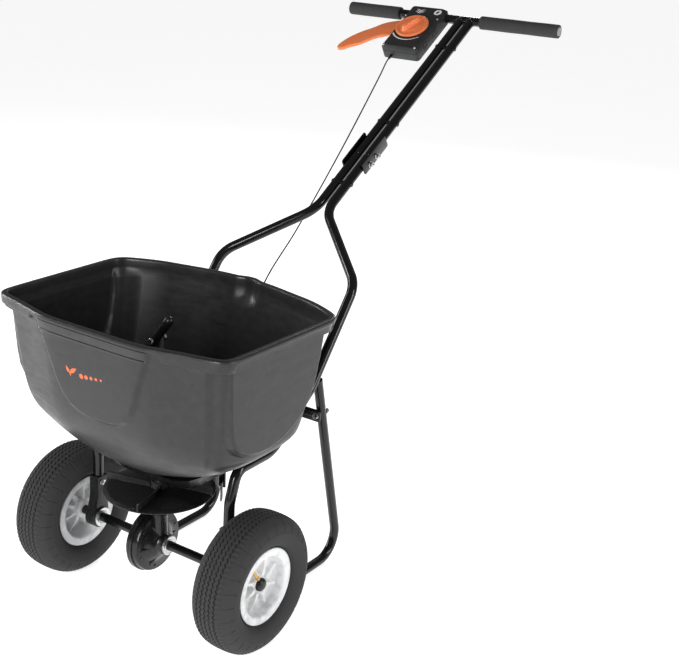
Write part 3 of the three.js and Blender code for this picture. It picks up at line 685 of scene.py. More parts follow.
@dataclass(frozen=True)
class BakedPaint(Finish):
    """Gloss black powder paint: a smooth coat with a little orange peel and dust."""

    peel: float = 0.16

    def dress(self, rig: NodeRig) -> None:
        """Wires the paint."""
        rig.link(rig.tones(rig.noise(14, 4), self.shaded(0.8, 1.25)), rig.shader.inputs["Base Color"])
        wear = rig.joined(rig.noise(55, 5, 0.6), rig.noise(600, 2), "MULTIPLY")
        rough = rig.spread(wear, self.rough * 0.75, self.rough * 1.6, 0.1, 0.45)
        rig.link(rough, rig.shader.inputs["Roughness"])
        rig.relief(rig.noise(420, 2, 0.4), self.peel, 0.0005)
        rig.set(coat_weight=0.3, coat_roughness=0.07, coat_ior=1.5, specular_ior_level=0.3)


@dataclass(frozen=True)
class MouldedPlastic(Finish):
    """Moulded plastic with a fine spark-eroded grain, slow shade changes and light rubbing."""

    grain: float = 0.25
    grain_size: float = 1500.0
    rub: float = 0.25

    def dress(self, rig: NodeRig) -> None:
        """Wires the plastic."""
        cloud = rig.joined(rig.noise(3.5, 3), rig.noise(70, 3), "ADD")
        rig.link(
            rig.tones(rig.spread(cloud, 0, 1, 0.7, 1.3), self.shaded(0.88, 1.12)),
            rig.shader.inputs["Base Color"],
        )
        scuff = rig.noise(26, 6, 0.62, rig.stretched((1.0, 1.0, 3.5)))
        rough = rig.spread(scuff, self.rough * (1 - self.rub), self.rough * (1 + self.rub), 0.3, 0.7)
        rig.link(rough, rig.shader.inputs["Roughness"])
        coarse = rig.relief(rig.noise(9, 2, 0.4), 0.12, 0.003)
        rig.relief(rig.noise(self.grain_size, 3, 0.6), self.grain, 0.0003, coarse)
        rig.set(specular_ior_level=0.42)


@dataclass(frozen=True)
class SpeckledPlastic(Finish):
    """Rough black plastic whose raised grains catch the light."""

    grains: float = 420.0

    def dress(self, rig: NodeRig) -> None:
        """Wires the plastic."""
        specks = rig.cells(self.grains)
        light = tuple(min(c * 9, 1.0) for c in self.colour)
        near = rig.tones(
            rig.joined(specks, rig.noise(self.grains * 0.6, 2), "ADD"),
            [(0.3, light), (0.48, self.colour), (1.0, self.colour)],
        )
        rig.link(near, rig.shader.inputs["Base Color"])
        rig.link(rig.spread(specks, self.rough * 0.55, self.rough * 1.3), rig.shader.inputs["Roughness"])
        under = rig.relief(rig.noise(self.grains * 0.8, 3, 0.7), 0.8, 0.0016)
        rig.relief(specks, 0.75, 0.0011, under)


@dataclass(frozen=True)
class TyreRubber(Finish):
    """Black rubber with fine mould texture and pale dust lying in it."""

    dust: Point = (0.022, 0.022, 0.023)

    def dress(self, rig: NodeRig) -> None:
        """Wires the rubber."""
        cloud = rig.joined(rig.noise(18, 5, 0.65), rig.noise(260, 3, 0.6), "MULTIPLY")
        tone = rig.tones(cloud, [(0.12, self.colour), (0.42, self.dust)])
        rig.link(tone, rig.shader.inputs["Base Color"])
        rig.link(
            rig.spread(cloud, self.rough * 0.82, self.rough * 1.25, 0.1, 0.4),
            rig.shader.inputs["Roughness"],
        )
        under = rig.relief(rig.noise(70, 4, 0.6), 0.18, 0.0012)
        rig.relief(rig.noise(1700, 3, 0.6), 0.32, 0.0003, under)
        rig.set(specular_ior_level=0.28)


@dataclass(frozen=True)
class Foam(Finish):
    """Closed-cell foam of a hand grip, with its tiny open skin cells."""

    def dress(self, rig: NodeRig) -> None:
        """Wires the foam."""
        cells = rig.cells(900)
        rig.link(
            rig.tones(rig.joined(cells, rig.noise(40, 4), "MULTIPLY"), self.shaded(0.7, 1.35)),
            rig.shader.inputs["Base Color"],
        )
        rig.link(
            rig.spread(rig.noise(120, 4), self.rough * 0.9, self.rough * 1.06),
            rig.shader.inputs["Roughness"],
        )
        under = rig.relief(rig.noise(160, 3, 0.6), 0.25, 0.001)
        rig.relief(cells, 0.5, 0.0005, under)
        rig.set(sheen_weight=0.25, sheen_roughness=0.5)


@dataclass(frozen=True)
class Metal(Finish):
    """Plated or bare metal with fine streaks, spots and handling marks."""

    streak: Point = (1.0, 1.0, 1.0)

    def dress(self, rig: NodeRig) -> None:
        """Wires the metal."""
        rig.set(metallic=1.0)
        spots = rig.joined(rig.noise(160, 5, 0.6), rig.noise(900, 2), "MULTIPLY")
        rig.link(
            rig.tones(spots, [(0.1, tuple(c * 0.72 for c in self.colour)), (0.4, self.colour)]),
            rig.shader.inputs["Base Color"],
        )
        rig.link(
            rig.spread(spots, self.rough * 1.5, self.rough * 0.8, 0.1, 0.45),
            rig.shader.inputs["Roughness"],
        )
        rig.relief(rig.noise(700, 3, 0.5, rig.stretched(self.streak)), 0.2, 0.0003)


@dataclass(frozen=True)
class PrintedInk(Finish):
    """A flat printed mark, slightly broken up by the grain below it."""

    def dress(self, rig: NodeRig) -> None:
        """Wires the ink."""
        rig.link(
            rig.tones(rig.noise(500, 4, 0.7), self.shaded(0.86, 1.06)),
            rig.shader.inputs["Base Color"],
        )
        rig.link(
            rig.spread(rig.noise(200, 3), self.rough * 0.85, self.rough * 1.15),
            rig.shader.inputs["Roughness"],
        )
        rig.relief(rig.noise(1500, 3, 0.6), 0.15, 0.0002)


PAINT = BakedPaint("gloss_black_paint", (0.004, 0.004, 0.0045), Slot.PAINT, 0.17)
CASTING = BakedPaint("black_casting_paint", (0.005, 0.005, 0.0055), Slot.PAINT, 0.26, peel=0.3)
HOPPER = MouldedPlastic("hopper_plastic_charcoal", (0.021, 0.021, 0.0225), Slot.HOPPER, 0.36, grain=0.16)
DARK = MouldedPlastic("dark_moulding", (0.008, 0.008, 0.009), Slot.DARK, 0.3, grain=0.2)
# The hopper plastic darkened for the outlet collar and rear deflector under the hopper: painted shade.
SHADED_HOPPER_PLASTIC = MouldedPlastic("hopper_plastic_painted_shade", (0.007, 0.007, 0.008), Slot.HOPPER, 0.3, grain=0.2)
SPINNER = SpeckledPlastic("speckled_spinner_plastic", (0.004, 0.004, 0.0045), Slot.SPINNER, 0.42)
BOX = MouldedPlastic(
    "control_box_plastic", (0.018, 0.0185, 0.02), Slot.BOX, 0.42, grain=0.35, grain_size=1300.0
)
RUBBER = TyreRubber("tyre_rubber", (0.006, 0.006, 0.0065), Slot.TYRE, 0.5)
SHEATH = MouldedPlastic("cable_sheath", (0.006, 0.006, 0.0065), Slot.CABLE, 0.38, grain=0.2)
FOAM = Foam("grip_foam", (0.011, 0.011, 0.012), Slot.FOAM, 0.85)
WHITE = MouldedPlastic("white_wheel_plastic", (0.78, 0.785, 0.79), Slot.WHITE, 0.34, grain=0.1, rub=0.2)
ORANGE = MouldedPlastic("orange_plastic", (0.82, 0.085, 0.012), Slot.ORANGE, 0.42, grain=0.25)
ORANGE_INK = PrintedInk("orange_ink", (0.88, 0.16, 0.045), Slot.HOPPER, 0.45)
WHITE_INK = PrintedInk("white_ink", (0.86, 0.86, 0.86), Slot.BOX, 0.5)
DARK_INK = PrintedInk("dark_ink", (0.02, 0.02, 0.022), Slot.BOX, 0.5)
ZINC = Metal("bright_zinc", (0.78, 0.79, 0.8), Slot.ZINC, 0.22)
STEEL = Metal("bare_steel", (0.5, 0.51, 0.52), Slot.STEEL, 0.34, streak=(1.0, 1.0, 12.0))
BRASS = Metal("valve_brass", (0.72, 0.46, 0.17), Slot.BRASS, 0.3)
PLUG = MouldedPlastic("grey_end_plug", (0.3, 0.3, 0.31), Slot.PLUG, 0.5, grain=0.2)


class Workshop:
    """Turns shapes into named pieces that ride on the machine's bodies."""

    def __init__(self) -> None:
        """Starts with no pieces."""
        self.made: list[str] = []

    def make(
        self,
        name: str,
        shape: Shape,
        finish: Finish,
        body: Body,
        stands_for: Sequence[str] = (),
        crease: float = 32.0,
    ) -> bpy.types.Object:
        """Makes one piece.

        Args:
            name: The piece's name.
            shape: Its shape about the layout point, in millimetres.
            finish: Its finish.
            body: The body that it moves with.
            stands_for: The frame nodes that it replaces.
            crease: The angle in degrees from which an edge stays sharp.

        Returns:
            The piece.
        """
        shape = Shape((shape.points + LAYOUT_SHIFT) * METRES, shape.faces)
        mesh = bpy.data.meshes.new(name)
        mesh.from_pydata(shape.points.tolist(), [], shape.faces)
        made = bmesh.new()
        made.from_mesh(mesh)
        bmesh.ops.remove_doubles(made, verts=made.verts, dist=2e-6)
        bmesh.ops.dissolve_degenerate(made, edges=made.edges, dist=1e-6)
        bmesh.ops.recalc_face_normals(made, faces=made.faces)
        for face in made.faces:
            face.smooth = True
        limit = math.radians(crease)
        for edge in made.edges:
            edge.smooth = len(edge.link_faces) == 2 and edge.calc_face_angle(0.0) <= limit
        made.to_mesh(mesh)
        made.free()
        piece = bpy.data.objects.new(name, mesh)
        bpy.context.scene.collection.objects.link(piece)
        return self.fit(piece, finish, body, stands_for)

    def fit(
        self, piece: bpy.types.Object, finish: Finish, body: Body, stands_for: Sequence[str] = ()
    ) -> bpy.types.Object:
        """Gives a piece its finish, body and replaced nodes, and reports it."""
        piece.data.materials.clear()
        piece.data.materials.append(finish.material())
        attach(piece, body.value)
        if stands_for:
            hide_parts(*stands_for)
        self.made.append(piece.name)
        LOG.info("piece %s on %s", piece.name, body.value)
        return piece

    def refinish(self, node: str, finish: Finish) -> None:
        """Gives a frame node, whose shape stays, a better finish."""
        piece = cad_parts[node]
        for slot in piece.material_slots:
            slot.material = finish.material()
        LOG.info("node %s has %s", node, finish.name)


def monotone(knots: Array, values: Array, where: Array) -> Array:
    """A smooth curve through values that never swings past them.

    Args:
        knots: Where the values are known, rising.
        values: The values there.
        where: Where the curve is read.

    Returns:
        The curve's values.
    """
    step = np.diff(knots)
    slope = np.diff(values) / step
    lean = np.zeros(len(knots))
    lean[0], lean[-1] = slope[0], slope[-1]
    same = slope[:-1] * slope[1:] > 0
    w1, w2 = 2 * step[1:] + step[:-1], step[1:] + 2 * step[:-1]
    with np.errstate(divide="ignore", invalid="ignore"):
        mean = (w1 + w2) / (w1 / slope[:-1] + w2 / slope[1:])
    lean[1:-1] = np.where(same, mean, 0.0)
    i = np.clip(np.searchsorted(knots, where) - 1, 0, len(step) - 1)
    t = (where - knots[i]) / step[i]
    h = step[i]
    return (
        (1 + 2 * t) * (1 - t) ** 2 * values[i]
        + t * (1 - t) ** 2 * h * lean[i]
        + t * t * (3 - 2 * t) * values[i + 1]
        + t * t * (t - 1) * h * lean[i + 1]
    )


# ---------------------------------------------------------------- hopper
@dataclass
class Hopper:
    """The open moulded hopper: a round-cornered bowl with flat raised panels and a rolled lip."""

    columns: int = 600
    row_step: float = 3.0
    wall: float = 3.5
    floor: float = 308.0
    top: float = 597.0
    panel_rise: float = 7.5
    corner_sink: float = 8.0
    side_plane: float = 250.0
    rear_bulge: float = 8.0
    rear_bulge_x: float = 14.0

    RIM = (
        (0, -176), (60, -176), (112, -175), (150, -165), (186, -155), (236, -144), (257, -137),
        (265, -124), (266, -80), (266, 8), (266, 100), (266, 150), (261, 166), (249, 179),
        (190, 207), (130, 220), (65, 235), (0, 240),
    )  # fmt: skip
    # Height, half width, front, rear and roundness of the wall.
    LEVELS = (
        (308, 84, -66, 95, 1), (322, 118, -90, 114, 0.95), (340, 170, -108, 136, 0.85),
        (366, 219, -125, 156, 0.7), (390, 240, -138, 172, 0.5), (420, 247, -148, 188, 0.3),
        (470, 251, -156, 206, 0.12), (530, 255, -163, 222, 0.04), (570, 258.2, -167, 230.5, 0),
    )  # fmt: skip
    # Half of the front panel's edge: across and height.
    FRONT_PANEL = (
        (158, 660), (158, 586), (149, 581), (129, 578), (119.5, 569), (110, 543), (100, 514),
        (91, 487), (80, 462), (65, 444), (46, 433), (23, 428), (0, 427),
    )  # fmt: skip
    # The side panel's edge: along and height.
    SIDE_PANEL = (
        (-114, 660), (-113, 577), (-111, 530), (-108, 480), (-104, 452), (-95, 430), (-80, 414),
        (-58, 403), (-28, 397), (5, 396), (38, 402), (68, 415), (94, 433), (113, 456),
        (126, 490), (135, 530), (141, 577), (144, 660),
    )  # fmt: skip

    def rim_loop(self) -> Array:
        """The rim's outline, evenly spaced all round."""
        half = [tuple(map(float, p)) for p in self.RIM]
        whole = half + [(-x, y) for x, y in half[-2:0:-1]]
        return even_loop(chaikin(np.array(whole), 3), self.columns)

    def ring(self, level: Sequence[float], inset: float = 0.0) -> Array:
        """One level of the wall.

        Args:
            level: Height, half width, front, rear and roundness.
            inset: How far inside the outer skin it lies.

        Returns:
            The points of the ring.
        """
        z, half_width, front, rear, roundness = level
        loop = self.loop
        ux, uy = loop[:, 0] / 266.0, (loop[:, 1] - 32.0) / 208.0
        angle = np.arctan2(uy, ux)
        reach = (np.abs(np.cos(angle)) ** 3 + np.abs(np.sin(angle)) ** 3) ** (-1 / 3)
        x = ux + (reach * np.cos(angle) - ux) * roundness
        y = uy + (reach * np.sin(angle) - uy) * roundness
        depth = (rear - front) / 2 - inset
        middle = (front + rear) / 2
        return np.column_stack([x * (half_width - inset), middle + y * depth, np.full(len(x), z)])

    def outward(self, ring: Array) -> Array:
        """The level direction straight out of a ring at each of its points."""
        along = np.roll(ring, -1, axis=0) - np.roll(ring, 1, axis=0)
        out = np.column_stack([along[:, 1], -along[:, 0], np.zeros(len(ring))])
        return out / np.linalg.norm(out, axis=1)[:, None]

    def bulged(self, ring: Array) -> Array:
        """Pushes the rear wall's small pocket out of a ring."""
        x, y, z = ring.T
        mask = smoothstep(34, 4, np.abs(x - self.rear_bulge_x)) * smoothstep(541, 566, z) * (y > 60)
        return ring + np.column_stack([np.zeros_like(x), mask * self.rear_bulge, np.zeros_like(x)])

    def panelled(self, ring: Array, inset: float) -> Array:
        """Raises the flat panels and sinks the corners of one ring of the wall."""
        out = self.outward(ring)
        x, y, z = ring.T
        rim_x, rim_y = np.abs(self.loop[:, 0]), self.loop[:, 1]
        front = distance_inside(np.column_stack([np.abs(x), z]), self.front_edge)
        raised = smoothstep(-5.0, 3.5, front) * (rim_y < -100)
        fade = smoothstep(372, 428, z)
        corner = np.where(rim_y < 30, smoothstep(228, 240, rim_x), smoothstep(218, 256, rim_x))
        side = distance_inside(np.column_stack([y, z]), self.side_edge)
        panel = smoothstep(-5.5, 4.5, side) * smoothstep(0.3, 0.65, np.abs(out[:, 0]))
        push = self.panel_rise * raised * fade - self.corner_sink * corner * (1 - panel) * fade
        moved = ring + out * push[:, None]
        plane = np.sign(x) * (self.side_plane + (z - 396) * 0.03 - inset)
        moved[:, 0] += (plane - moved[:, 0]) * panel
        return self.bulged(moved)

    def shell(self) -> Shape:
        """The whole hopper as one closed skin."""
        self.loop = self.rim_loop()
        self.front_edge = np.array(
            self.FRONT_PANEL + tuple((-x, z) for x, z in self.FRONT_PANEL[-2::-1]), float
        )
        self.side_edge = np.array(self.SIDE_PANEL, float)
        knots = np.array(self.LEVELS, float)
        along = np.concatenate([[0], np.cumsum(np.hypot(np.diff(knots[:, 1]), np.diff(knots[:, 0])))])
        where = np.linspace(0, along[-1], int(along[-1] / self.row_step))
        levels = np.stack([monotone(along, knots[:, k], where) for k in range(5)], axis=1)
        rows = [self.ring((self.floor, 62, -24, 80, 1)), self.ring((self.floor, 80, -61, 92, 1))]
        rows += [self.panelled(self.ring(level), 0.0) for level in levels]
        rows += self.lip_rows()
        inner = [self.panelled(self.ring(level, self.wall), self.wall) for level in levels[::-1]]
        for ring in inner:
            ring[:, 2] += 1.5
        inner[-1][:, 2] = self.floor + self.wall
        rows += inner[2:]
        rows.append(self.ring((self.floor + self.wall, 62, -24, 80, 1)))
        return Shape.grid(np.array(rows), wrap_rows=True)

    def lip_rows(self) -> list[Array]:
        """The rolled lip and the shoulder below it, from the outside over the top to the inside."""
        wall = self.ring((self.top - 18, 259, -168, 232, 0))
        out = self.outward(wall)
        rim_x, rim_y = np.abs(self.loop[:, 0]), self.loop[:, 1]
        block = smoothstep(147, 155, rim_x) * smoothstep(262, 250, rim_x)
        block = np.maximum(block, smoothstep(256, 263, rim_x) * smoothstep(-112, -122, rim_y))
        low = 587.5 - 8.5 * block
        side = smoothstep(252, 262, rim_x) * smoothstep(-124, -112, rim_y)
        face = distance_inside(
            np.column_stack([np.abs(wall[:, 0]), np.full(len(wall), 575.0)]), self.front_edge
        )
        raised = smoothstep(-5.0, 3.5, face) * (rim_y < -100)
        shoulder = np.maximum(3.0 - 2.2 * side, self.panel_rise * raised)
        # Each row: part of the way from the shoulder to the lip's lower edge, offset, drop from the top.
        rows = []
        for z, offset in (
            (571.0, 0.5 + (shoulder - 0.5) * raised), (572.6, shoulder * 0.85), (574.0, shoulder)
        ):
            rows.append((np.minimum(z, low - 3.0), offset))
        rows.append((low - 1.6, shoulder))
        rows.append((low - 0.5, shoulder + 0.6))
        rows.append((low - 0.1, 0 * low + 5.6))
        rows.append((low + 0.5, 0 * low + 7.8))
        rows.append((low + 1.7, 0 * low + 8.5))
        for z, offset in (
            (592.0, 8.5), (594.4, 8.3), (595.8, 7.5), (596.7, 6.2), (597.0, 4.6), (597.0, 1.0),
            (597.0, -1.2), (596.5, -2.6), (595.2, -3.4), (592.0, -3.8), (582.0, -4.2), (576.0, -4.0),
        ):  # fmt: skip
            rows.append((0 * low + z, 0 * low + offset))
        made = []
        for height, offset in rows:
            ring = wall + out * offset[:, None]
            ring[:, 2] = height
            made.append(self.bulged(ring))
        return made

    def build(self, shop: Workshop) -> None:
        """Makes the hopper and the mark on its front."""
        shell = self.shell()
        piece = shop.make("hopper_shell", shell, HOPPER, Body.FRAME, ("hopper",), crease=50)
        Mark(piece).build(shop)


@dataclass
class Mark:
    """The orange printed mark on the front panel: a sprout and a row of falling grains."""

    host: bpy.types.Object
    left: float = -60.0
    height: float = 513.0
    thickness: float = 0.25

    def leaf(self, x: float, z: float, length: float, width: float, angle: float) -> Array:
        """One leaf's outline.

        Args:
            x: Where its foot is, across.
            z: Where its foot is, in height.
            length: How long it is.
            width: How wide it is at most.
            angle: The way that it points, in degrees from straight across.

        Returns:
            The outline, across and in height.
        """
        share = np.linspace(0, 1, 13)
        half = 0.5 * width * np.sin(math.pi * share**0.8)
        upper = np.column_stack([share * length, half])
        lower = np.column_stack([share * length, -0.6 * half])[-2:0:-1]
        line = np.vstack([upper, lower])
        c, s = math.cos(math.radians(angle)), math.sin(math.radians(angle))
        return np.column_stack([x + line[:, 0] * c - line[:, 1] * s, z + line[:, 0] * s + line[:, 1] * c])

    def laid(self, outline: Array) -> Shape:
        """An outline laid on the panel as a thin film."""
        graph = bpy.context.evaluated_depsgraph_get()
        host = self.host.evaluated_get(graph)
        centre = outline.mean(axis=0)
        rows = []
        for lift, scale in ((-0.1, 1.0), (self.thickness, 1.0), (self.thickness, 0.5)):
            ring = []
            for x, z in centre + (outline - centre) * scale:
                start = Vector(((x + LAYOUT_SHIFT[0]) * METRES, -0.8, (z + LAYOUT_SHIFT[2]) * METRES))
                hit, spot, _, _ = host.ray_cast(start, Vector((0, 1, 0)))
                y = spot[1] / METRES - LAYOUT_SHIFT[1] if hit else -168.0
                ring.append((x, y - lift, z))
            rows.append(ring)
        return Shape.grid(np.array(rows), cap_start=True, cap_end=True)

    def build(self, shop: Workshop) -> None:
        """Makes the mark."""
        x, z = self.left, self.height
        outlines = [
            self.leaf(x + 10, z - 7, 20, 9.5, 38),
            self.leaf(x + 9, z - 7, 15, 7.5, 122),
            rounded_rect(x + 8.2, x + 10.8, z - 12, z - 5, 1.2),
        ]
        for i, size in enumerate((4.6, 4.0, 3.4, 2.8, 2.2)):
            outlines.append(circle(size, 24, x + 36 + i * 11.5, z - 6 + 1.2 * i))
        film = self.laid(outlines[0]).plus(*[self.laid(line) for line in outlines[1:]])
        shop.make("hopper_mark", film, ORANGE_INK, Body.FRAME)


# ---------------------------------------------------------------- handle
@dataclass(frozen=True)
class HandleLine:
    """The sloping line of the handle, which its pieces are laid out along: across, along and proud."""

    foot: Point = (0.0, 1023.0, 1031.0)
    slope: float = 32.6

    def matrix(self) -> Matrix:
        """From the handle's own directions to the layout point's."""
        turn = Matrix.Rotation(math.radians(self.slope), 4, "X")
        return Matrix.Translation(self.foot) @ turn

    def place(self, shape: Shape) -> Shape:
        """A shape laid on the handle."""
        return shape.placed(self.matrix())

    def point(self, x: float, s: float, h: float = 0.0) -> Point:
        """One point on the handle."""
        return tuple(self.matrix() @ Vector((x, s, h)))


HANDLE = HandleLine()


@dataclass(frozen=True)
class Fastener:
    """A hexagon bolt along x: head, washers, shank and nut, with a chamfer on every corner."""

    radius: float = 3.0
    across: float = 10.0
    head: float = 4.0
    washer_radius: float = 6.4
    washer: float = 1.0

    def hexagon(self, x0: float, x1: float) -> Shape:
        """A hexagon head or nut whose outer corners are turned off."""
        corner = self.across / math.sqrt(3)
        body = Shape.turned([(x0, 0), (x0, corner), (x1, corner), (x1, 0)], 6)
        low, high = min(x0, x1), max(x0, x1)
        ball = Shape.turned(
            [(low - 0.01, 0), (low - 0.01, corner * 0.93), (low + 0.7, corner * 1.02),
             (high - 0.7, corner * 1.02), (high + 0.01, corner * 0.93), (high + 0.01, 0)],
            40,
        )  # fmt: skip
        return body.carved(ball, "INTERSECT")

    def disc(self, x0: float, x1: float, radius: float) -> Shape:
        """A washer or round head with eased edges."""
        ease = min(0.3, (x1 - x0) / 3)
        return Shape.turned(
            [
                (x0, 0), (x0, radius - ease), (x0 + ease, radius), (x1 - ease, radius),
                (x1, radius - ease), (x1, 0)
            ],
            32,
        )

    def thread(self, x0: float, x1: float) -> Shape:
        """A threaded end."""
        count = max(int((x1 - x0) / 0.5), 3)
        profile = [(x0, 0.0)]
        for i in range(count + 1):
            groove = 0.0 if i % 2 else 0.28
            profile.append((x0 + (x1 - x0) * i / count, self.radius - groove))
        profile += [(x1 + 0.4, self.radius - 0.7), (x1 + 0.4, 0.0)]
        return Shape.turned(profile, 24)

    def bolt(self, x0: float, x1: float, beyond: float) -> Shape:
        """A whole bolt that clamps from x0 to x1.

        Args:
            x0: The face below the head.
            x1: The face below the nut.
            beyond: How far the thread stands out of the nut.

        Returns:
            The bolt with its washers and nut.
        """
        w = self.washer
        nut_end = x1 + w + self.head * 1.2
        return self.hexagon(x0 - w - self.head, x0 - w).plus(
            self.disc(x0 - w, x0, self.washer_radius),
            self.disc(x1, x1 + w, self.washer_radius),
            self.hexagon(x1 + w, nut_end),
            self.thread(nut_end - 0.5, nut_end + beyond),
        )


@dataclass
class HandleBar:
    """The straight bar with its foam grips and end plugs."""

    left: float = -314.0
    right: float = 231.0
    tube: float = 10.0
    foam: float = 14.8
    grips: tuple[tuple[str, float, float], ...] = (("left", -315.0, -175.0), ("right", 39.0, 232.0))

    def bar(self) -> Shape:
        """The bar's hollow tube."""
        wall = 1.6
        x0, x1, r = self.left, self.right, self.tube
        return Shape.turned(
            [(x0, r - wall), (x0, r - 0.3), (x0 + 0.3, r), (x1 - 0.3, r), (x1, r - 0.3), (x1, r - wall)],
            48,
            closed=True,
        )

    def grip(self, x0: float, x1: float, seed: int) -> Shape:
        """One foam grip with soft ends and a slightly uneven skin."""
        corners = [(x0, self.tube + 0.2), (x0, self.foam), (x1, self.foam), (x1, self.tube + 0.2)]
        profile = [tuple(p) for p in eased_line(corners, [0, 2.6, 2.6, 0], 5)]
        edge = [p for p in profile if p[1] > self.foam - 0.01]
        start, end = edge[0][0], edge[-1][0]
        middle = [(x, self.foam) for x in np.linspace(start, end, 60)]
        profile = [p for p in profile if p[0] <= start] + middle[1:-1] + [p for p in profile if p[0] >= end]
        shape = Shape.turned(profile, 64, closed=True)
        rng = np.random.default_rng(seed)
        waves = rng.uniform(0.02, 0.09, 5), rng.uniform(0, TURN, 5), rng.integers(1, 5, 5)
        x, y, z = shape.points.T
        angle = np.arctan2(z, y)
        swell = sum(0.05 * np.sin(k * x + p + n * angle) for k, p, n in zip(*waves))
        radial = 1 + swell * (np.hypot(y, z) > self.tube + 2) / self.foam
        shape.points[:, 1] *= radial
        shape.points[:, 2] *= radial
        return shape

    def plug(self, end: float, side: int) -> Shape:
        """One end plug: a stem in the tube, a groove and a slightly hollow face."""
        stem = 8.0
        profile = [
            (-18, 0), (-18, stem - 0.8), (-17, stem), (0.2, stem), (0.2, 9.2), (0.6, 9.7),
            (1.9, 9.6), (2.8, 8.9), (2.9, 7.4), (2.4, 6.6), (2.3, 5.4), (2.7, 4.8), (2.8, 2.0),
            (2.5, 0)
        ]  # fmt: skip
        shape = Shape.turned(profile, 48)
        return (shape if side > 0 else shape.mirrored()).moved(end, 0, 0)

    def build(self, shop: Workshop) -> None:
        """Makes the bar, its grips and plugs."""
        shop.make("bar_tube", HANDLE.place(self.bar()), PAINT, Body.FRAME, ("handle_bar",))
        for seed, (side, x0, x1) in enumerate(self.grips):
            shape = HANDLE.place(self.grip(x0, x1, seed + 3))
            grip = shop.make(f"foam_grip_{side}", shape, FOAM, Body.FRAME, (f"grip_{side}",))
        for side, name, end in ((-1, "left", self.left), (1, "right", self.right)):
            shape = HANDLE.place(self.plug(end, side))
            shop.make(f"end_plug_{name}", shape, PLUG, Body.FRAME, (f"bar_plug_{name}",))


@dataclass
class HandleColumn:
    """The two parallel handle tubes, the plates that join them to the lower frame, and their bolts."""

    tube: float = 10.0
    wall: float = 1.6
    apart: float = 13.0
    joint: float = -476.0
    joint_bolts: tuple[float, float] = (-463.0, -490.0)
    bolt_drop: float = -5.0
    spacers: tuple[tuple[str, float], ...] = (("top", -101.0), ("middle", -365.0), ("lower", -560.0))

    def tube_shape(self, x: float) -> Shape:
        """One tube of the column, run into the side of the bar."""
        r, low, high = self.tube, self.joint + 0.3, -4.0
        profile = [(low, r - self.wall), (low, r - 0.3), (low + 0.3, r), (high, r), (high, r - self.wall)]
        return Shape.turned(profile, 40, axis=Axis.Y, closed=True).moved(x, 0, 0)

    def weld(self, x: float, seed: int) -> Shape:
        """The bead where a tube is welded to the bar, lumpy from one run of the torch to the next."""
        rng = np.random.default_rng(seed)
        angles = np.arange(72) * TURN / 72
        across = self.tube * np.cos(angles)
        proud = self.tube * np.sin(angles) * 0.985
        along = -np.sqrt(np.maximum(self.tube**2 - proud**2, 0.5))
        ripple = 1.5 + 0.22 * np.sin(angles * 18) + 0.12 * rng.standard_normal(72)
        centre = np.column_stack([x + across, along, proud])
        rows = []
        for i in range(72):
            ahead = unit(centre[(i + 1) % 72] - centre[i - 1])
            out = unit(np.array([math.cos(angles[i]), 0.0, math.sin(angles[i])]))
            other = np.cross(ahead, out)
            ring = [
                centre[i] + ripple[i] * (math.cos(a) * out + math.sin(a) * other)
                for a in np.arange(10) * TURN / 10
            ]
            rows.append(ring)
        return Shape.grid(np.array(rows), wrap_rows=True)

    def plate_shape(self, side: int) -> Shape:
        """One joint plate, standing on the outside of the column."""
        outline = rounded_rect(-514, -418, -14, 14, 4.5)
        flat = Shape.slab(outline, 0, 3).eased(0.5)
        standing = flat.placed(FACING_X)
        start = self.apart + self.tube + 0.3
        return standing.moved(start if side > 0 else -start - 3, 0, 0)

    def build(self, shop: Workshop) -> None:
        """Makes the column."""
        for side, name in ((-1, "left"), (1, "right")):
            x = side * self.apart
            tube = self.tube_shape(x)
            shop.make(
                f"column_tube_{name}",
                HANDLE.place(tube),
                PAINT,
                Body.FRAME,
                (f"handle_tube_{name}",),
            )
            weld = self.weld(x, 11 + side)
            shop.make(f"bar_weld_{name}", HANDLE.place(weld), CASTING, Body.FRAME, crease=60)
            plate = self.plate_shape(side)
            shop.make(
                f"joint_side_plate_{name}",
                HANDLE.place(plate),
                PAINT,
                Body.FRAME,
                (f"joint_plate_{name}",),
            )
        reach = self.apart + self.tube + 3.6
        bolt = Fastener(3.0, 10.0, 4.0, 6.6)
        for i, s in enumerate(self.joint_bolts):
            shape = bolt.bolt(-reach, reach, 3.5).moved(0, s, self.bolt_drop)
            shop.make(
                f"joint_nut_and_bolt_{i + 1}",
                HANDLE.place(shape),
                ZINC,
                Body.FRAME,
                (f"joint_bolt_{i + 1}",),
            )
        face = self.apart + self.tube
        for name, s in self.spacers:
            heads = []
            for side in (-1, 1):
                profile = [
                    (face - 0.8, 0), (face - 0.8, 5.6), (face + 0.6, 5.6), (face + 1.7, 4.9),
                    (face + 2.5, 3.2), (face + 2.7, 0)
                ]
                head = Shape.turned(profile, 28)
                heads.append(head if side > 0 else head.mirrored())
            sleeve = Shape.turned([(-4, 3.1), (-4, 4.6), (4, 4.6), (4, 3.1)], 28, closed=True)
            shape = heads[0].plus(heads[1], sleeve).moved(0, s, 0)
            shop.make(
                f"spacer_rivet_{name}",
                HANDLE.place(shape),
                PAINT,
                Body.FRAME,
                (f"spacer_bolt_{name}",),
            )


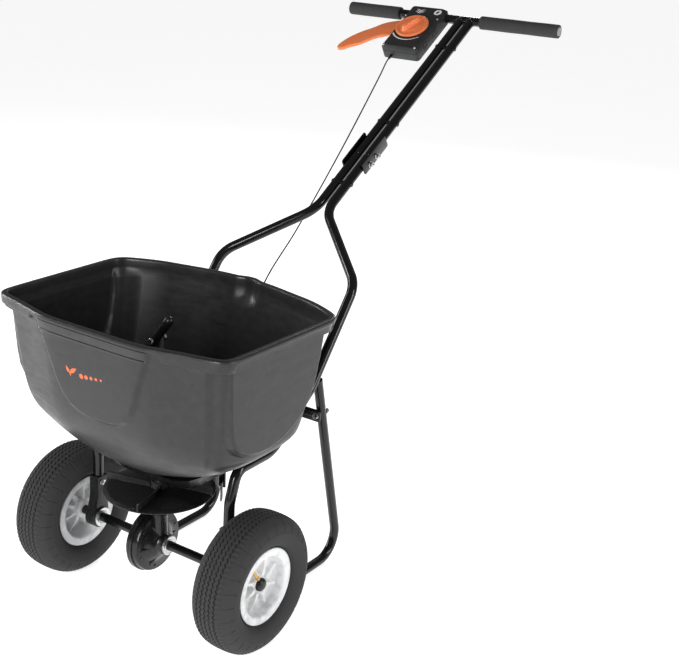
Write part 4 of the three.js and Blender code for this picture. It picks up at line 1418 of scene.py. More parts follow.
# ---------------------------------------------------------------- control box, dial and lever
@dataclass
class ControlBox:
    """The two-part control box with its scale, marks and screws."""

    left: float = -145.0
    right: float = -50.0
    low: float = -144.0
    high: float = 13.0
    floor: float = -14.0
    split: float = 6.0
    face: float = 20.0
    dial: tuple[float, float] = (-101.0, -68.0)
    pivot: tuple[float, float] = (-126.0, -42.0)
    lever_height: float = -1.0

    def bar_room(self) -> Shape:
        """The round way through for the bar."""
        return Shape.turned([(-190, 0), (-190, 10.3), (0, 10.3), (0, 0)], 48)

    def outline(self, inset: float, radius: float) -> Array:
        """The box's outline, pulled in."""
        return rounded_rect(
            self.left + inset, self.right - inset, self.low + inset, self.high - inset, radius, 6
        )

    def hollow(self, inset: float, low: float, high: float) -> Shape:
        """The room inside, which stops short of the bar."""
        line = rounded_rect(self.left + inset, self.right - inset, self.low + inset, -16, 4, 4)
        return Shape.slab(line, low, high)

    def base(self) -> Shape:
        """The lower half, open on the lever's side."""
        heights = (
            (self.floor, 1.8), (self.floor + 0.5, 0.5), (self.floor + 1.8, 0), (self.split - 0.8, 0),
            (self.split - 0.2, 0.35), (self.split - 0.2, 1.0),
        )  # fmt: skip
        body = Shape.layered([(z, self.outline(inset, 7)) for z, inset in heights])
        mouth = Shape.block(
            self.left - 5, self.left + 9, -100, -17, self.lever_height - 6, self.lever_height + 6
        )
        cable = Shape.turned(
            [(self.low - 5, 0), (self.low - 5, 2.5), (self.low + 9, 2.5), (self.low + 9, 0)],
            20,
            axis=Axis.Y,
        )
        body = body.minus(
            self.hollow(4, self.floor + 4, self.split + 3),
            self.bar_room(),
            mouth,
            cable.moved(-122, 0, -6),
        )
        post = Shape.turned(
            [
                (self.floor + 2, 0), (self.floor + 2, 4), (self.lever_height + 7, 4),
                (self.lever_height + 7, 0)
            ],
            28,
            axis=Axis.Z,
        )
        return body.plus(post.moved(*self.pivot, 0))

    def cover(self) -> Shape:
        """The upper half with its sloped rim round a slightly sunk face."""
        split, face = self.split, self.face
        heights = (
            (split + 0.3, 1.2, 7), (split + 0.3, 0.4, 7), (split + 0.9, 0, 7), (face - 6.5, 0, 7),
            (face - 5.6, 0.4, 7), (face - 0.9, 4.0, 6), (face - 0.2, 4.8, 6), (face, 5.8, 5.6),
        )  # fmt: skip
        body = Shape.layered([(z, self.outline(inset, radius)) for z, inset, radius in heights])
        spindle = Shape.turned(
            [(0, 0), (0, 5.5), (self.face + 5, 5.5), (self.face + 5, 0)], 28, axis=Axis.Z
        )
        return body.minus(
            self.hollow(5.2, self.split - 3, self.face - 6),
            self.bar_room(),
            spindle.moved(*self.dial, 0),
        )

    def scale_marks(self) -> Shape:
        """The white arc below the dial, narrowing along its length."""
        steps = 30
        start, end = math.radians(218), math.radians(318)
        angles = np.linspace(start, end, steps + 1)
        x, s = self.dial
        widths = np.linspace(3.6, 1.4, steps + 1)
        outer = np.column_stack([x + 47.4 * np.cos(angles), s + 47.4 * np.sin(angles)])
        inner = np.column_stack(
            [x + (47.4 - widths) * np.cos(angles), s + (47.4 - widths) * np.sin(angles)]
        )
        return Shape.slab(np.vstack([outer, inner[::-1]]), self.face - 0.1, self.face + 0.15)

    def round_label(self) -> tuple[Shape, Shape]:
        """The round white label and the plain drop printed on it."""
        disc = Shape.slab(circle(9.2, 48), self.face - 0.1, self.face + 0.15).moved(-66.5, -7, 0)
        drop = [
            (0, 5.6), (2.6, 1.2), (3.4, -1.4), (2.3, -3.9), (0, -4.8), (-2.3, -3.9), (-3.4, -1.4),
            (-2.6, 1.2)
        ]
        mark = Shape.slab(smooth_curve(drop, 4, closed=True), self.face + 0.1, self.face + 0.28)
        return disc, mark.spun(Axis.Z, -0.5).moved(-66.5, -7, 0)

    def corner_mark(self) -> Shape:
        """A white mark of three waves in the upper left corner of the face."""
        films = []
        for i in range(3):
            t = np.linspace(0, 1, 17)
            x = -124 + 23 * t
            s = -13 + 4.6 * i + 1.9 * np.sin(t * TURN * 1.3 + 0.6)
            upper = np.column_stack([x, s + 1.1 * np.sin(math.pi * t) + 0.15])
            lower = np.column_stack([x, s - 1.1 * np.sin(math.pi * t) - 0.15])
            films.append(Shape.slab(np.vstack([lower, upper[::-1]]), self.face - 0.1, self.face + 0.15))
        return films[0].plus(*films[1:])

    def side_clip(self) -> Shape:
        """The snap hook's window frame on the side that faces the column."""
        outer = rounded_rect(-6, 6, -9, 9, 2.5, 4)
        inner = rounded_rect(-3.4, 3.4, -6.2, 6.2, 1.6, 4)
        frame_ring = Shape.ring_slab(outer, inner, -0.4, 0.9)
        standing = frame_ring.placed(ON_SIDE)
        return standing.moved(self.right, -60, 3).plus(standing.moved(self.right, -104, 3))

    def screws(self) -> Shape:
        """The four cover screws with crossed slots."""
        heads = []
        for x, s in ((-138, -137), (-57, -137), (-139.5, -30), (-55.5, -30)):
            profile = [
                (self.face - 2, 0), (self.face - 2, 2.9), (self.face + 0.1, 2.9),
                (self.face + 0.7, 2.1), (self.face + 0.9, 0)
            ]
            head = Shape.turned(profile, 24, axis=Axis.Z)
            slots = [
                Shape.block(-1.9, 1.9, -0.35, 0.35, self.face + 0.2, self.face + 2).spun(Axis.Z, a)
                for a in (0.4, 0.4 + math.pi / 2)
            ]
            heads.append(head.minus(*slots).moved(x, s, 0))
        return heads[0].plus(*heads[1:])

    def build(self, shop: Workshop) -> None:
        """Makes the box."""
        shop.make(
            "box_lower_half",
            HANDLE.place(self.base()),
            BOX,
            Body.FRAME,
            ("control_box_base",),
            crease=25,
        )
        shop.make(
            "box_upper_half",
            HANDLE.place(self.cover()),
            BOX,
            Body.FRAME,
            ("control_box_cover",),
            crease=25,
        )
        shop.make("box_side_clips", HANDLE.place(self.side_clip()), BOX, Body.FRAME)
        shop.make("box_screws", HANDLE.place(self.screws()), ZINC, Body.FRAME)
        shop.make("box_scale", HANDLE.place(self.scale_marks()), WHITE_INK, Body.FRAME)
        disc, mark = self.round_label()
        shop.make("box_round_label", HANDLE.place(disc), WHITE_INK, Body.FRAME)
        shop.make("box_label_drop", HANDLE.place(mark), DARK_INK, Body.FRAME)
        shop.make("box_corner_mark", HANDLE.place(self.corner_mark()), WHITE_INK, Body.FRAME)


@dataclass
class RateDial:
    """The orange rate dial: a disc with a fluted edge, a finger bar, ticks and numbers."""

    x: float = -101.0
    s: float = -68.0
    face: float = 20.0
    flutes: int = 48
    turn: float = -0.45

    def disc(self) -> Shape:
        """The disc and its spindle."""
        rows = []
        count = self.flutes * 6
        angles = np.arange(count) * TURN / count
        flute = 0.45 * (0.5 + 0.5 * np.cos(angles * self.flutes))
        for z, radius, deep in (
            (-8.0, 0.0, 0), (-8.0, 4.8, 0), (0.35, 4.8, 0), (0.35, 36.5, 0), (0.7, 38.0, 0.6),
            (1.2, 38.6, 1.0),
            (4.2, 38.9, 1.0), (5.0, 38.4, 0.7), (5.7, 37.2, 0.2), (6.0, 35.8, 0), (6.0, 33.4, 0),
            (5.6, 32.8, 0),
            (5.6, 22.0, 0), (6.1, 21.0, 0), (6.2, 12.0, 0), (6.2, 0.0, 0),
        ):  # fmt: skip
            r = radius - flute * deep
            rows.append(np.column_stack([r * np.cos(angles), r * np.sin(angles), np.full(count, z)]))
        return Shape.grid(np.array(rows))

    def finger_bar(self) -> Shape:
        """The raised bar that the fingers turn, waisted in the middle and pointed at one end."""
        half = [(0, 27), (3.2, 22), (5.6, 12), (5.0, 2), (6.4, -10), (6.8, -19), (4.6, -24.5), (0, -26)]
        outline = smooth_curve(half + [(-x, y) for x, y in half[-2:0:-1]], 4, closed=True)
        heights = (
            (5.4, 1.12), (6.4, 1.05), (8.0, 1.0), (13.0, 0.93), (15.6, 0.86), (16.6, 0.74),
            (17.0, 0.5)
        )
        return Shape.layered([(z, outline * scale) for z, scale in heights])

    def ticks(self) -> Shape:
        """The raised ticks round the dial."""
        marks = []
        for i in range(31):
            angle = math.radians(-60 + 10 * i)
            long = 4.2 if i % 3 == 0 else 2.4
            tick = Shape.block(32.2 - long, 32.2, -0.35, 0.35, 5.5, 6.0)
            marks.append(tick.spun(Axis.Z, angle))
        pointer = Shape.slab(np.array([(28.5, -1.6), (33.0, 0.0), (28.5, 1.6)]), 5.5, 6.3)
        marks.append(pointer.spun(Axis.Z, math.pi / 2 - 0.02))
        return marks[0].plus(*marks[1:])

    def numbers(self) -> Shape:
        """The numbers 1 to 10 round the dial."""
        glyphs = []
        for i in range(10):
            text = bpy.data.curves.new("number", "FONT")
            text.body = str(i + 1)
            text.size = 5.0
            text.extrude = 0.2
            text.align_x = "CENTER"
            text.align_y = "CENTER"
            holder = bpy.data.objects.new("number", text)
            bpy.context.scene.collection.objects.link(holder)
            graph = bpy.context.evaluated_depsgraph_get()
            mesh = bpy.data.meshes.new_from_object(holder.evaluated_get(graph))
            points = np.array([v.co[:] for v in mesh.vertices])
            faces = [tuple(face.vertices) for face in mesh.polygons]
            bpy.data.objects.remove(holder)
            bpy.data.curves.remove(text)
            bpy.data.meshes.remove(mesh)
            angle = math.radians(-60 + 30 * i)
            glyph = Shape(points, faces).spun(Axis.Z, angle - math.pi / 2)
            glyphs.append(glyph.moved(25.2 * math.cos(angle), 25.2 * math.sin(angle), 5.7))
        return glyphs[0].plus(*glyphs[1:])

    def placed(self, shape: Shape) -> Shape:
        """A shape of the dial put on the box."""
        return HANDLE.place(shape.spun(Axis.Z, self.turn).moved(self.x, self.s, self.face))

    def build(self, shop: Workshop) -> None:
        """Makes the dial."""
        body = self.disc().plus(self.finger_bar(), self.ticks())
        shop.make("dial_knob", self.placed(body), ORANGE, Body.DIAL, ("rate_dial",), crease=38)
        shop.make("dial_numbers", self.placed(self.numbers()), ORANGE_INK, Body.DIAL, crease=38)


@dataclass
class ShutterLever:
    """The orange squeeze lever with its finger waves."""

    thick: float = 9.0
    height: float = -1.0
    pivot: tuple[float, float] = (-126.0, -42.0)
    OUTLINE = (
        (-126, -30), (-150, -26), (-172, -32), (-196, -45), (-216, -66), (-238, -86), (-256, -110),
        (-268, -138), (-264, -152), (-252, -150), (-238, -138), (-220, -126), (-200, -104),
        (-186, -92), (-168, -82), (-150, -60), (-126, -54),
    )  # fmt: skip

    def blade(self) -> Shape:
        """The blade, crowned across its thickness."""
        line = smooth_curve(self.OUTLINE, 6, closed=True)
        line = even_loop(line, 220)
        along = np.roll(line, -1, axis=0) - np.roll(line, 1, axis=0)
        inward = np.column_stack([along[:, 1], -along[:, 0]])
        inward /= np.linalg.norm(inward, axis=1)[:, None]
        area = float(np.sum(line[:, 0] * np.roll(line[:, 1], -1) - np.roll(line[:, 0], -1) * line[:, 1]))
        inward *= -1.0 if area > 0 else 1.0
        half = self.thick / 2
        upper = ((1.2, 0.0), (half - 1.4, 0.5), (half - 0.4, 1.6), (half, 3.2))
        heights = tuple((-z, inset) for z, inset in upper[::-1]) + upper
        rings = [(z, line + inward * inset) for z, inset in heights]
        return Shape.layered(rings).moved(0, 0, self.height)

    def build(self, shop: Workshop) -> None:
        """Makes the lever."""
        half = self.thick / 2
        eye = Shape.turned(
            [
                (-half, 4.3), (-half, 11.2), (-half + 0.8, 12), (half - 0.8, 12), (half, 11.2),
                (half, 4.3)
            ],
            48, axis=Axis.Z, closed=True
        ).moved(*self.pivot, self.height)
        bore = Shape.turned(
            [(-20, 0), (-20, 4.3), (20, 4.3), (20, 0)], 32, axis=Axis.Z
        ).moved(*self.pivot, 0)
        shape = self.blade().minus(bore).plus(eye)
        shop.make("squeeze_lever", HANDLE.place(shape), ORANGE, Body.LEVER, ("shutter_lever",), crease=28)


@dataclass
class ControlCable:
    """The sheathed cable from the control box down to the shutter, with its ferrules and anchor."""

    radius: float = 1.5
    ROUTE = (
        (-122, 909.1, 951.1), (-121.5, 889, 938), (-112, 846, 908), (-82, 660, 767), (-56, 474, 632),
        (-40, 352, 552), (-22, 280, 480), (-8, 250, 390), (-1, 238, 320), (0, 224, 281), (0, 207, 272),
        (0, 190.4, 271.5),
    )  # fmt: skip

    def line(self) -> Array:
        """The cable's centre line through all the points of its route."""
        spots = np.array(self.ROUTE, float)
        spots = np.vstack([2 * spots[0] - spots[1], spots, 2 * spots[-1] - spots[-2]])
        made = []
        for a, b, c, d in zip(spots, spots[1:], spots[2:], spots[3:]):
            ta, tb, tc = (math.sqrt(float(np.linalg.norm(q - p))) for p, q in ((a, b), (b, c), (c, d)))
            leave = (b - a) / ta - (c - a) / (ta + tb) + (c - b) / tb
            arrive = (c - b) / tb - (d - b) / (tb + tc) + (d - c) / tc
            for t in np.arange(8) / 8:
                made.append(
                    (2 * t**3 - 3 * t**2 + 1) * b + (t**3 - 2 * t**2 + t) * tb * leave
                    + (3 * t**2 - 2 * t**3) * c + (t**3 - t**2) * tb * arrive
                )  # fmt: skip
        made.append(spots[-2])
        return np.array(made)

    def sheath(self, shop: Workshop) -> bpy.types.Object:
        """The cable itself, as one open round curve."""
        line = (self.line() + LAYOUT_SHIFT) * METRES
        curve = bpy.data.curves.new("cable_sheath", "CURVE")
        curve.dimensions = "3D"
        curve.bevel_depth = self.radius * METRES
        curve.bevel_resolution = 5
        curve.use_fill_caps = True
        spline = curve.splines.new("POLY")
        spline.points.add(len(line) - 1)
        for point, spot in zip(spline.points, line):
            point.co = (*spot, 1.0)
        spline.use_smooth = True
        piece = bpy.data.objects.new("cable_sheath", curve)
        bpy.context.scene.collection.objects.link(piece)
        return shop.fit(piece, SHEATH, Body.FRAME, ("control_cable",))

    def collar(self, at: Sequence[float], toward: Sequence[float], radius: float, length: float) -> Shape:
        """A stepped ferrule round the cable."""
        start, end = np.array(at, float), np.array(toward, float)
        ahead = unit(end - start)
        steps = ((0, 0.8), (0.4, 1), (0.62, 1), (0.64, 0.8), (0.94, 0.76), (1.0, 0.62))
        path = [start + ahead * length * share for share, _ in steps]
        return Shape.swept(path, np.array([radius * size for _, size in steps]), 24)

    def anchor(self) -> Shape:
        """The bent strip that holds the cable's lower end behind the outlet."""
        tab = Shape.slab(rounded_rect(-14, 14, 281, 303, 2.5), 113, 116).eased(0.5)
        tab = tab.placed(FACING_Y)
        arm = Shape.block(-9, 9, 113.2, 190, 300, 303).eased(0.5)
        end = Shape.slab(rounded_rect(-9, 9, 264, 303, 3), 186.5, 190).eased(0.5)
        end = end.placed(FACING_Y)
        rivets = []
        for x in (-9.5, 9.5):
            head = Shape.turned([(111.5, 0), (111.5, 3), (112.5, 3), (113, 2.4), (113, 0)], 20, axis=Axis.Y)
            rivets.append(head.moved(x, 5.6, 292))
        return tab.plus(arm, end, *rivets)

    def build(self, shop: Workshop) -> None:
        """Makes the cable and what holds its ends."""
        sheath = self.sheath(shop)
        top = self.collar(self.ROUTE[0], self.ROUTE[1], 3.4, 17)
        low = self.collar(self.ROUTE[-1], self.ROUTE[-2], 3.2, 14)
        ferrules = shop.make("cable_ferrules", top.plus(low), DARK, Body.FRAME)
        shop.make("anchor_strip", self.anchor(), ZINC, Body.FRAME, ("cable_anchor",))
        along = self.line() * METRES
        tuple(float(v) for v in (np.array(self.ROUTE[0]) + LAYOUT_SHIFT) * METRES)
        LOG.info("cable ends carried by %s", ferrules.name)


# ---------------------------------------------------------------- frame
@dataclass
class FrameTubes:
    """The two bent tubes that run from the handle round the hopper down to the axle."""

    tube: float = 10.0
    wall: float = 1.6

    def path(self, side: int) -> Array:
        """The bent centre line of one tube."""
        corners = [HANDLE.point(side * 13.0, -476.6), HANDLE.point(side * 13.0, -645.0)]
        corners += [(side * x, y, z) for x, y, z in (
            (165, 367, 586), (165, 235, 413), (163, 122, 322), (162, 24, 320), (162, 5, 262),
            (162, 4, 190.5),
        )]  # fmt: skip
        return eased_line(corners, [0, 70, 62, 70, 60, 26, 60, 0], 14)

    def build(self, shop: Workshop) -> None:
        """Makes both tubes."""
        for side, name in ((-1, "left"), (1, "right")):
            tube = Shape.swept(self.path(side), self.tube, 40, self.wall)
            shop.make(f"bent_tube_{name}", tube, PAINT, Body.FRAME, (f"frame_tube_{name}",))


@dataclass
class RestLegs:
    """The two bent rest legs with their brace, bolts and foot plugs."""

    tube: float = 9.5
    wall: float = 1.6

    def leg(self, side: int) -> Shape:
        """One leg."""
        corners = [(side * 160, 265, 420), (side * 157, 370, 9.5), (side * 157, 215, 9.5)]
        return Shape.swept(eased_line(corners, [0, 50, 0], 16), self.tube, 36, self.wall)

    def brace(self) -> Shape:
        """The flat brace across both legs."""
        plate = Shape.slab(rounded_rect(-169, 169, 333, 357, 6), 265, 269).eased(0.6)
        return plate.placed(FACING_Y)

    def bolt(self, x: float) -> Shape:
        """One bolt along y through brace and leg."""
        kit = Fastener(3.0, 10.0, 4.0, 6.4)
        along = kit.hexagon(-4.8, -1.0).plus(
            kit.disc(-1.0, 0.0, 6.4), kit.disc(
                31.5, 32.5, 6.4
            ), kit.hexagon(32.5, 37.5), kit.thread(37, 39.2)
        )
        turned = along.placed(ALONG_Y)
        return turned.moved(x, 265, 345)

    def plug(self, x: float) -> Shape:
        """One foot plug."""
        profile = [
            (231, 0), (231, 7.7), (215.2, 7.7), (215.2, 8.9), (214.4, 9.4), (212.2, 9.1),
            (211.2, 8.0), (211, 6), (211.4, 5.2), (211.4, 0)
        ]
        return Shape.turned(profile, 36, axis=Axis.Y).moved(x, 0, 9.5)

    def build(self, shop: Workshop) -> None:
        """Makes the legs."""
        shop.make("brace_strip", self.brace(), PAINT, Body.FRAME, ("leg_brace",))
        for side, name in ((-1, "left"), (1, "right")):
            shop.make(f"rest_leg_{name}", self.leg(side), PAINT, Body.FRAME, (f"leg_{name}",))
            shop.make(
                f"leg_nut_and_bolt_{name}",
                self.bolt(side * 159.4),
                ZINC,
                Body.FRAME,
                (f"leg_bolt_{name}",),
            )
            shop.make(f"foot_end_{name}", self.plug(side * 157), DARK, Body.FRAME, (f"foot_plug_{name}",))


@dataclass
class AxleBrackets:
    """The cast brackets that carry the axle, with their bearings and clamp bolts."""

    axle_height: float = 130.0

    def bracket(self) -> Shape:
        """The right bracket: an eye, a tapered neck and a socket for the tube."""
        eye = Shape.turned(
            [(150, 13.9), (150, 21.2), (151, 22), (172, 22), (173, 21.2), (173, 13.9)],
            56,
            closed=True,
        )
        eye = eye.moved(0, 0, self.axle_height)
        outline = smooth_curve(
            [
                (-11, 140), (16, 140), (18, 150), (15.8, 176), (16, 212), (14, 214.2), (-6, 214.2),
                (-8, 212), (-8.4, 176), (-14, 150)
            ],
            4,
            closed=True,
        )
        neck = Shape.slab(outline, 150.6, 172.4).eased(1.4, 3)
        neck = neck.placed(FACING_X)
        bore = Shape.turned(
            [(120, 0), (120, 13.95), (200, 13.95), (200, 0)], 56
        ).moved(0, 0, self.axle_height)
        socket = Shape.turned(
            [(190.2, 0), (190.2, 10.2), (240, 10.2), (240, 0)], 40, axis=Axis.Z
        ).moved(162, 4, 0)
        rib = Shape.block(154, 169, -12, 20, 150, 154).eased(1.0)
        return neck.minus(bore, socket).plus(eye, rib.minus(bore))

    def bearing(self) -> Shape:
        """The right bearing: flange, rings, seal and the balls between them."""
        z = self.axle_height
        shell = Shape.turned(
            [
                (146, 16.5), (146, 18.6), (146.4, 19), (149.2, 19), (149.6, 18.6), (149.6, 13.8),
                (170.6, 13.8), (171, 13.4), (171, 12.4), (147.5, 12.4)
            ],
            56,
            closed=True,
        )
        inner = Shape.turned([(146.4, 9.5), (146.4, 11), (170.6, 11), (170.6, 9.5)], 56, closed=True)
        parts = [shell.moved(0, 0, z), inner.moved(0, 0, z)]
        for i in range(11):
            angle = TURN * i / 11
            ball = Shape.turned(
                [(1.45 * math.cos(a), 1.45 * math.sin(a)) for a in np.linspace(0, math.pi, 8)], 12
            )
            parts.append(ball.moved(149.6, 11.7 * math.cos(angle), z + 11.7 * math.sin(angle)))
        return parts[0].plus(*parts[1:])

    def build(self, shop: Workshop) -> None:
        """Makes both sides."""
        kit = Fastener(3.0, 10.0, 3.5, 6.2)
        bolt = kit.hexagon(145.6, 149.4).plus(
            kit.disc(149.5, 150.5, 6.2), kit.disc(173, 174, 6.2), kit.hexagon(174, 178)
        ).moved(0, 4, 203)
        for name, flip in (("right", False), ("left", True)):
            shapes = [s.mirrored() if flip else s for s in (self.bracket(), self.bearing(), bolt)]
            shop.make(f"cast_bracket_{name}", shapes[0], CASTING, Body.FRAME, (f"axle_bracket_{name}",))
            shop.make(f"ball_bearing_{name}", shapes[1], ZINC, Body.FRAME, (f"axle_bearing_{name}",))
            shop.make(f"clamp_bolt_{name}", shapes[2], ZINC, Body.FRAME, (f"bracket_bolt_{name}",))


@dataclass
class Gearbox:
    """The two-part gear housing with its neck, web, ribs, screws and bearing."""

    axle_height: float = 130.0

    def housing(self) -> Shape:
        """The near half: a stepped drum that runs up into the shaft neck."""
        z = self.axle_height
        drum_profile = (
            (-20.7, 57), (-20.7, 61.4), (-20.2, 62), (-15.4, 62), (-14.8, 61.4), (-14.6, 59.4),
            (-6, 59), (-3.2, 57.4), (-2.4, 54), (-2.4, 41.8), (-1.6, 40.2), (4, 33), (10, 24.5),
            (11.4, 21.6), (12.4, 20.9), (21, 19.6), (22, 18.6), (22, 9.6), (-12, 9.6), (-12, 52),
            (-14, 57),
        )  # fmt: skip
        drum = Shape.turned(drum_profile, 96, closed=True).moved(0, 0, z)
        neck_profile = (
            (150, 11), (150, 15.5), (186, 15.5), (187, 16.2), (191, 16.2), (192, 15.5), (224, 15.2),
            (225, 16.4), (230, 16.4), (231, 15.4), (231, 6.4), (182, 6.4), (182, 11),
        )  # fmt: skip
        neck = Shape.turned(neck_profile, 56, axis=Axis.Z, closed=True)
        web = [(0, 142), (19, 142), (18, 156), (16.6, 172), (9, 196), (0, 214)]
        plate = Shape.slab(np.array(web, float), -2.2, 2.2).eased(0.9, 2)
        plate = plate.placed(STANDING)
        parts = [neck, plate]
        for angle in (0.55, 1.6, 2.65, 3.7, 4.7, 5.75):
            rib = Shape.slab(
                np.array([(-2.6, 52), (-2.6, 40), (9, 24), (11, 21), (3, 30), (-0.6, 44)], float),
                -1.4,
                1.4,
            )
            rib = rib.placed(STANDING)
            parts.append(rib.spun(Axis.X, angle).moved(0, 0, z))
        return drum.plus(*parts)

    def cover(self) -> Shape:
        """The far half, a shallow dish with a flange."""
        profile = [
            (-20.9, 57), (-20.9, 61.4), (-21.4, 62), (-25, 62), (-25.8, 61), (-26, 59),
            (-30.2, 57.6), (-31, 56.4), (-31, 24), (-30, 22.6), (-30, 9.6), (-27.4, 9.6),
            (-27.4, 54), (-24, 57)
        ]  # fmt: skip
        dish = Shape.turned(profile, 96, closed=True).moved(0, 0, self.axle_height)
        parts = []
        for i in range(6):
            angle = 0.35 + TURN * i / 6
            pad = Shape.turned([(-31.1, 0), (-31.1, 3.2), (-30.4, 3.6), (-28, 3.6), (-28, 0)], 20)
            parts.append(pad.moved(0, 50 * math.cos(angle), self.axle_height + 50 * math.sin(angle)))
        return dish.plus(*parts)

    def rivets(self) -> Shape:
        """The screws round the joint of the two halves."""
        heads = []
        for i in range(6):
            angle = 0.35 + TURN * i / 6
            head = Shape.turned([(-3.6, 0), (-3.6, 3.4), (-2.4, 3.2), (-1.4, 2.2), (-1.0, 0)], 20)
            heads.append(head.moved(0, 50 * math.cos(angle), self.axle_height + 50 * math.sin(angle)))
        return heads[0].plus(*heads[1:])

    def bearing(self) -> Shape:
        """The near bearing and its flange."""
        profile = [
            (12, 9.5), (12, 10.2), (22.4, 10.4), (22.4, 18), (22.9, 18.5), (26.4, 18.5), (27, 18),
            (27, 15.6), (26.2, 15), (26.2, 13), (27, 12.4), (27, 9.5)
        ]
        return Shape.turned(profile, 48, closed=True).moved(0, 0, self.axle_height)

    def build(self, shop: Workshop) -> None:
        """Makes the gearbox."""
        shop.make("gear_case", self.housing(), CASTING, Body.FRAME, ("gearbox_housing",))
        shop.make("gear_case_cover", self.cover(), CASTING, Body.FRAME, ("gearbox_cover",))
        shop.make("gear_case_screws", self.rivets(), CASTING, Body.FRAME)
        shop.make("gear_case_bearing", self.bearing(), ZINC, Body.FRAME, ("gearbox_bearing",))


@dataclass
class Axle:
    """The solid axle with its drive pin and domed end caps."""

    radius: float = 9.0
    half: float = 245.0
    height: float = 130.0

    def rod(self) -> Shape:
        """The rod with turned ends."""
        h, r = self.half, self.radius
        profile = [(-h, 0), (-h, r - 0.8), (-h + 0.8, r)] + [(x, r) for x in np.linspace(-h + 4, h - 4, 30)]
        return Shape.turned(profile + [(h - 0.8, r), (h, r - 0.8), (h, 0)], 48).moved(0, 0, self.height)

    def cap(self) -> Shape:
        """One domed cap with a rolled edge."""
        profile = [
            (239.4, 9.1), (239.4, 12.2), (239.9, 12.5), (242.2, 12.5), (243.6, 12.1), (245.6, 11),
            (247.8, 8), (249, 4.6), (249.5, 0), (245.2, 0), (245.2, 9.1)
        ]  # fmt: skip
        return Shape.turned(profile, 48).moved(0, 0, self.height)

    def pin(self) -> Shape:
        """The drive pin through the hub, along y."""
        profile = [
            (-24, 0), (-24, 2.6), (-23.4, 3.5), (-20.6, 3.7), (-19.8, 3.3), (-19.8, 2.4),
            (19.6, 2.4), (20.6, 1.8), (21, 0)
        ]
        return Shape.turned(profile, 28, axis=Axis.Y).moved(234, 0, self.height)

    def build(self, shop: Workshop) -> None:
        """Makes the axle."""
        shop.make("axle_rod", self.rod(), PAINT, Body.DRIVE, ("axle",))
        shop.make("end_cap_right", self.cap(), DARK, Body.DRIVE, ("axle_cap_right",))
        shop.make("end_cap_left", self.cap().mirrored(), DARK, Body.DRIVE, ("axle_cap_left",))
        shop.make("hub_pin", self.pin(), ZINC, Body.DRIVE, ("drive_pin",))


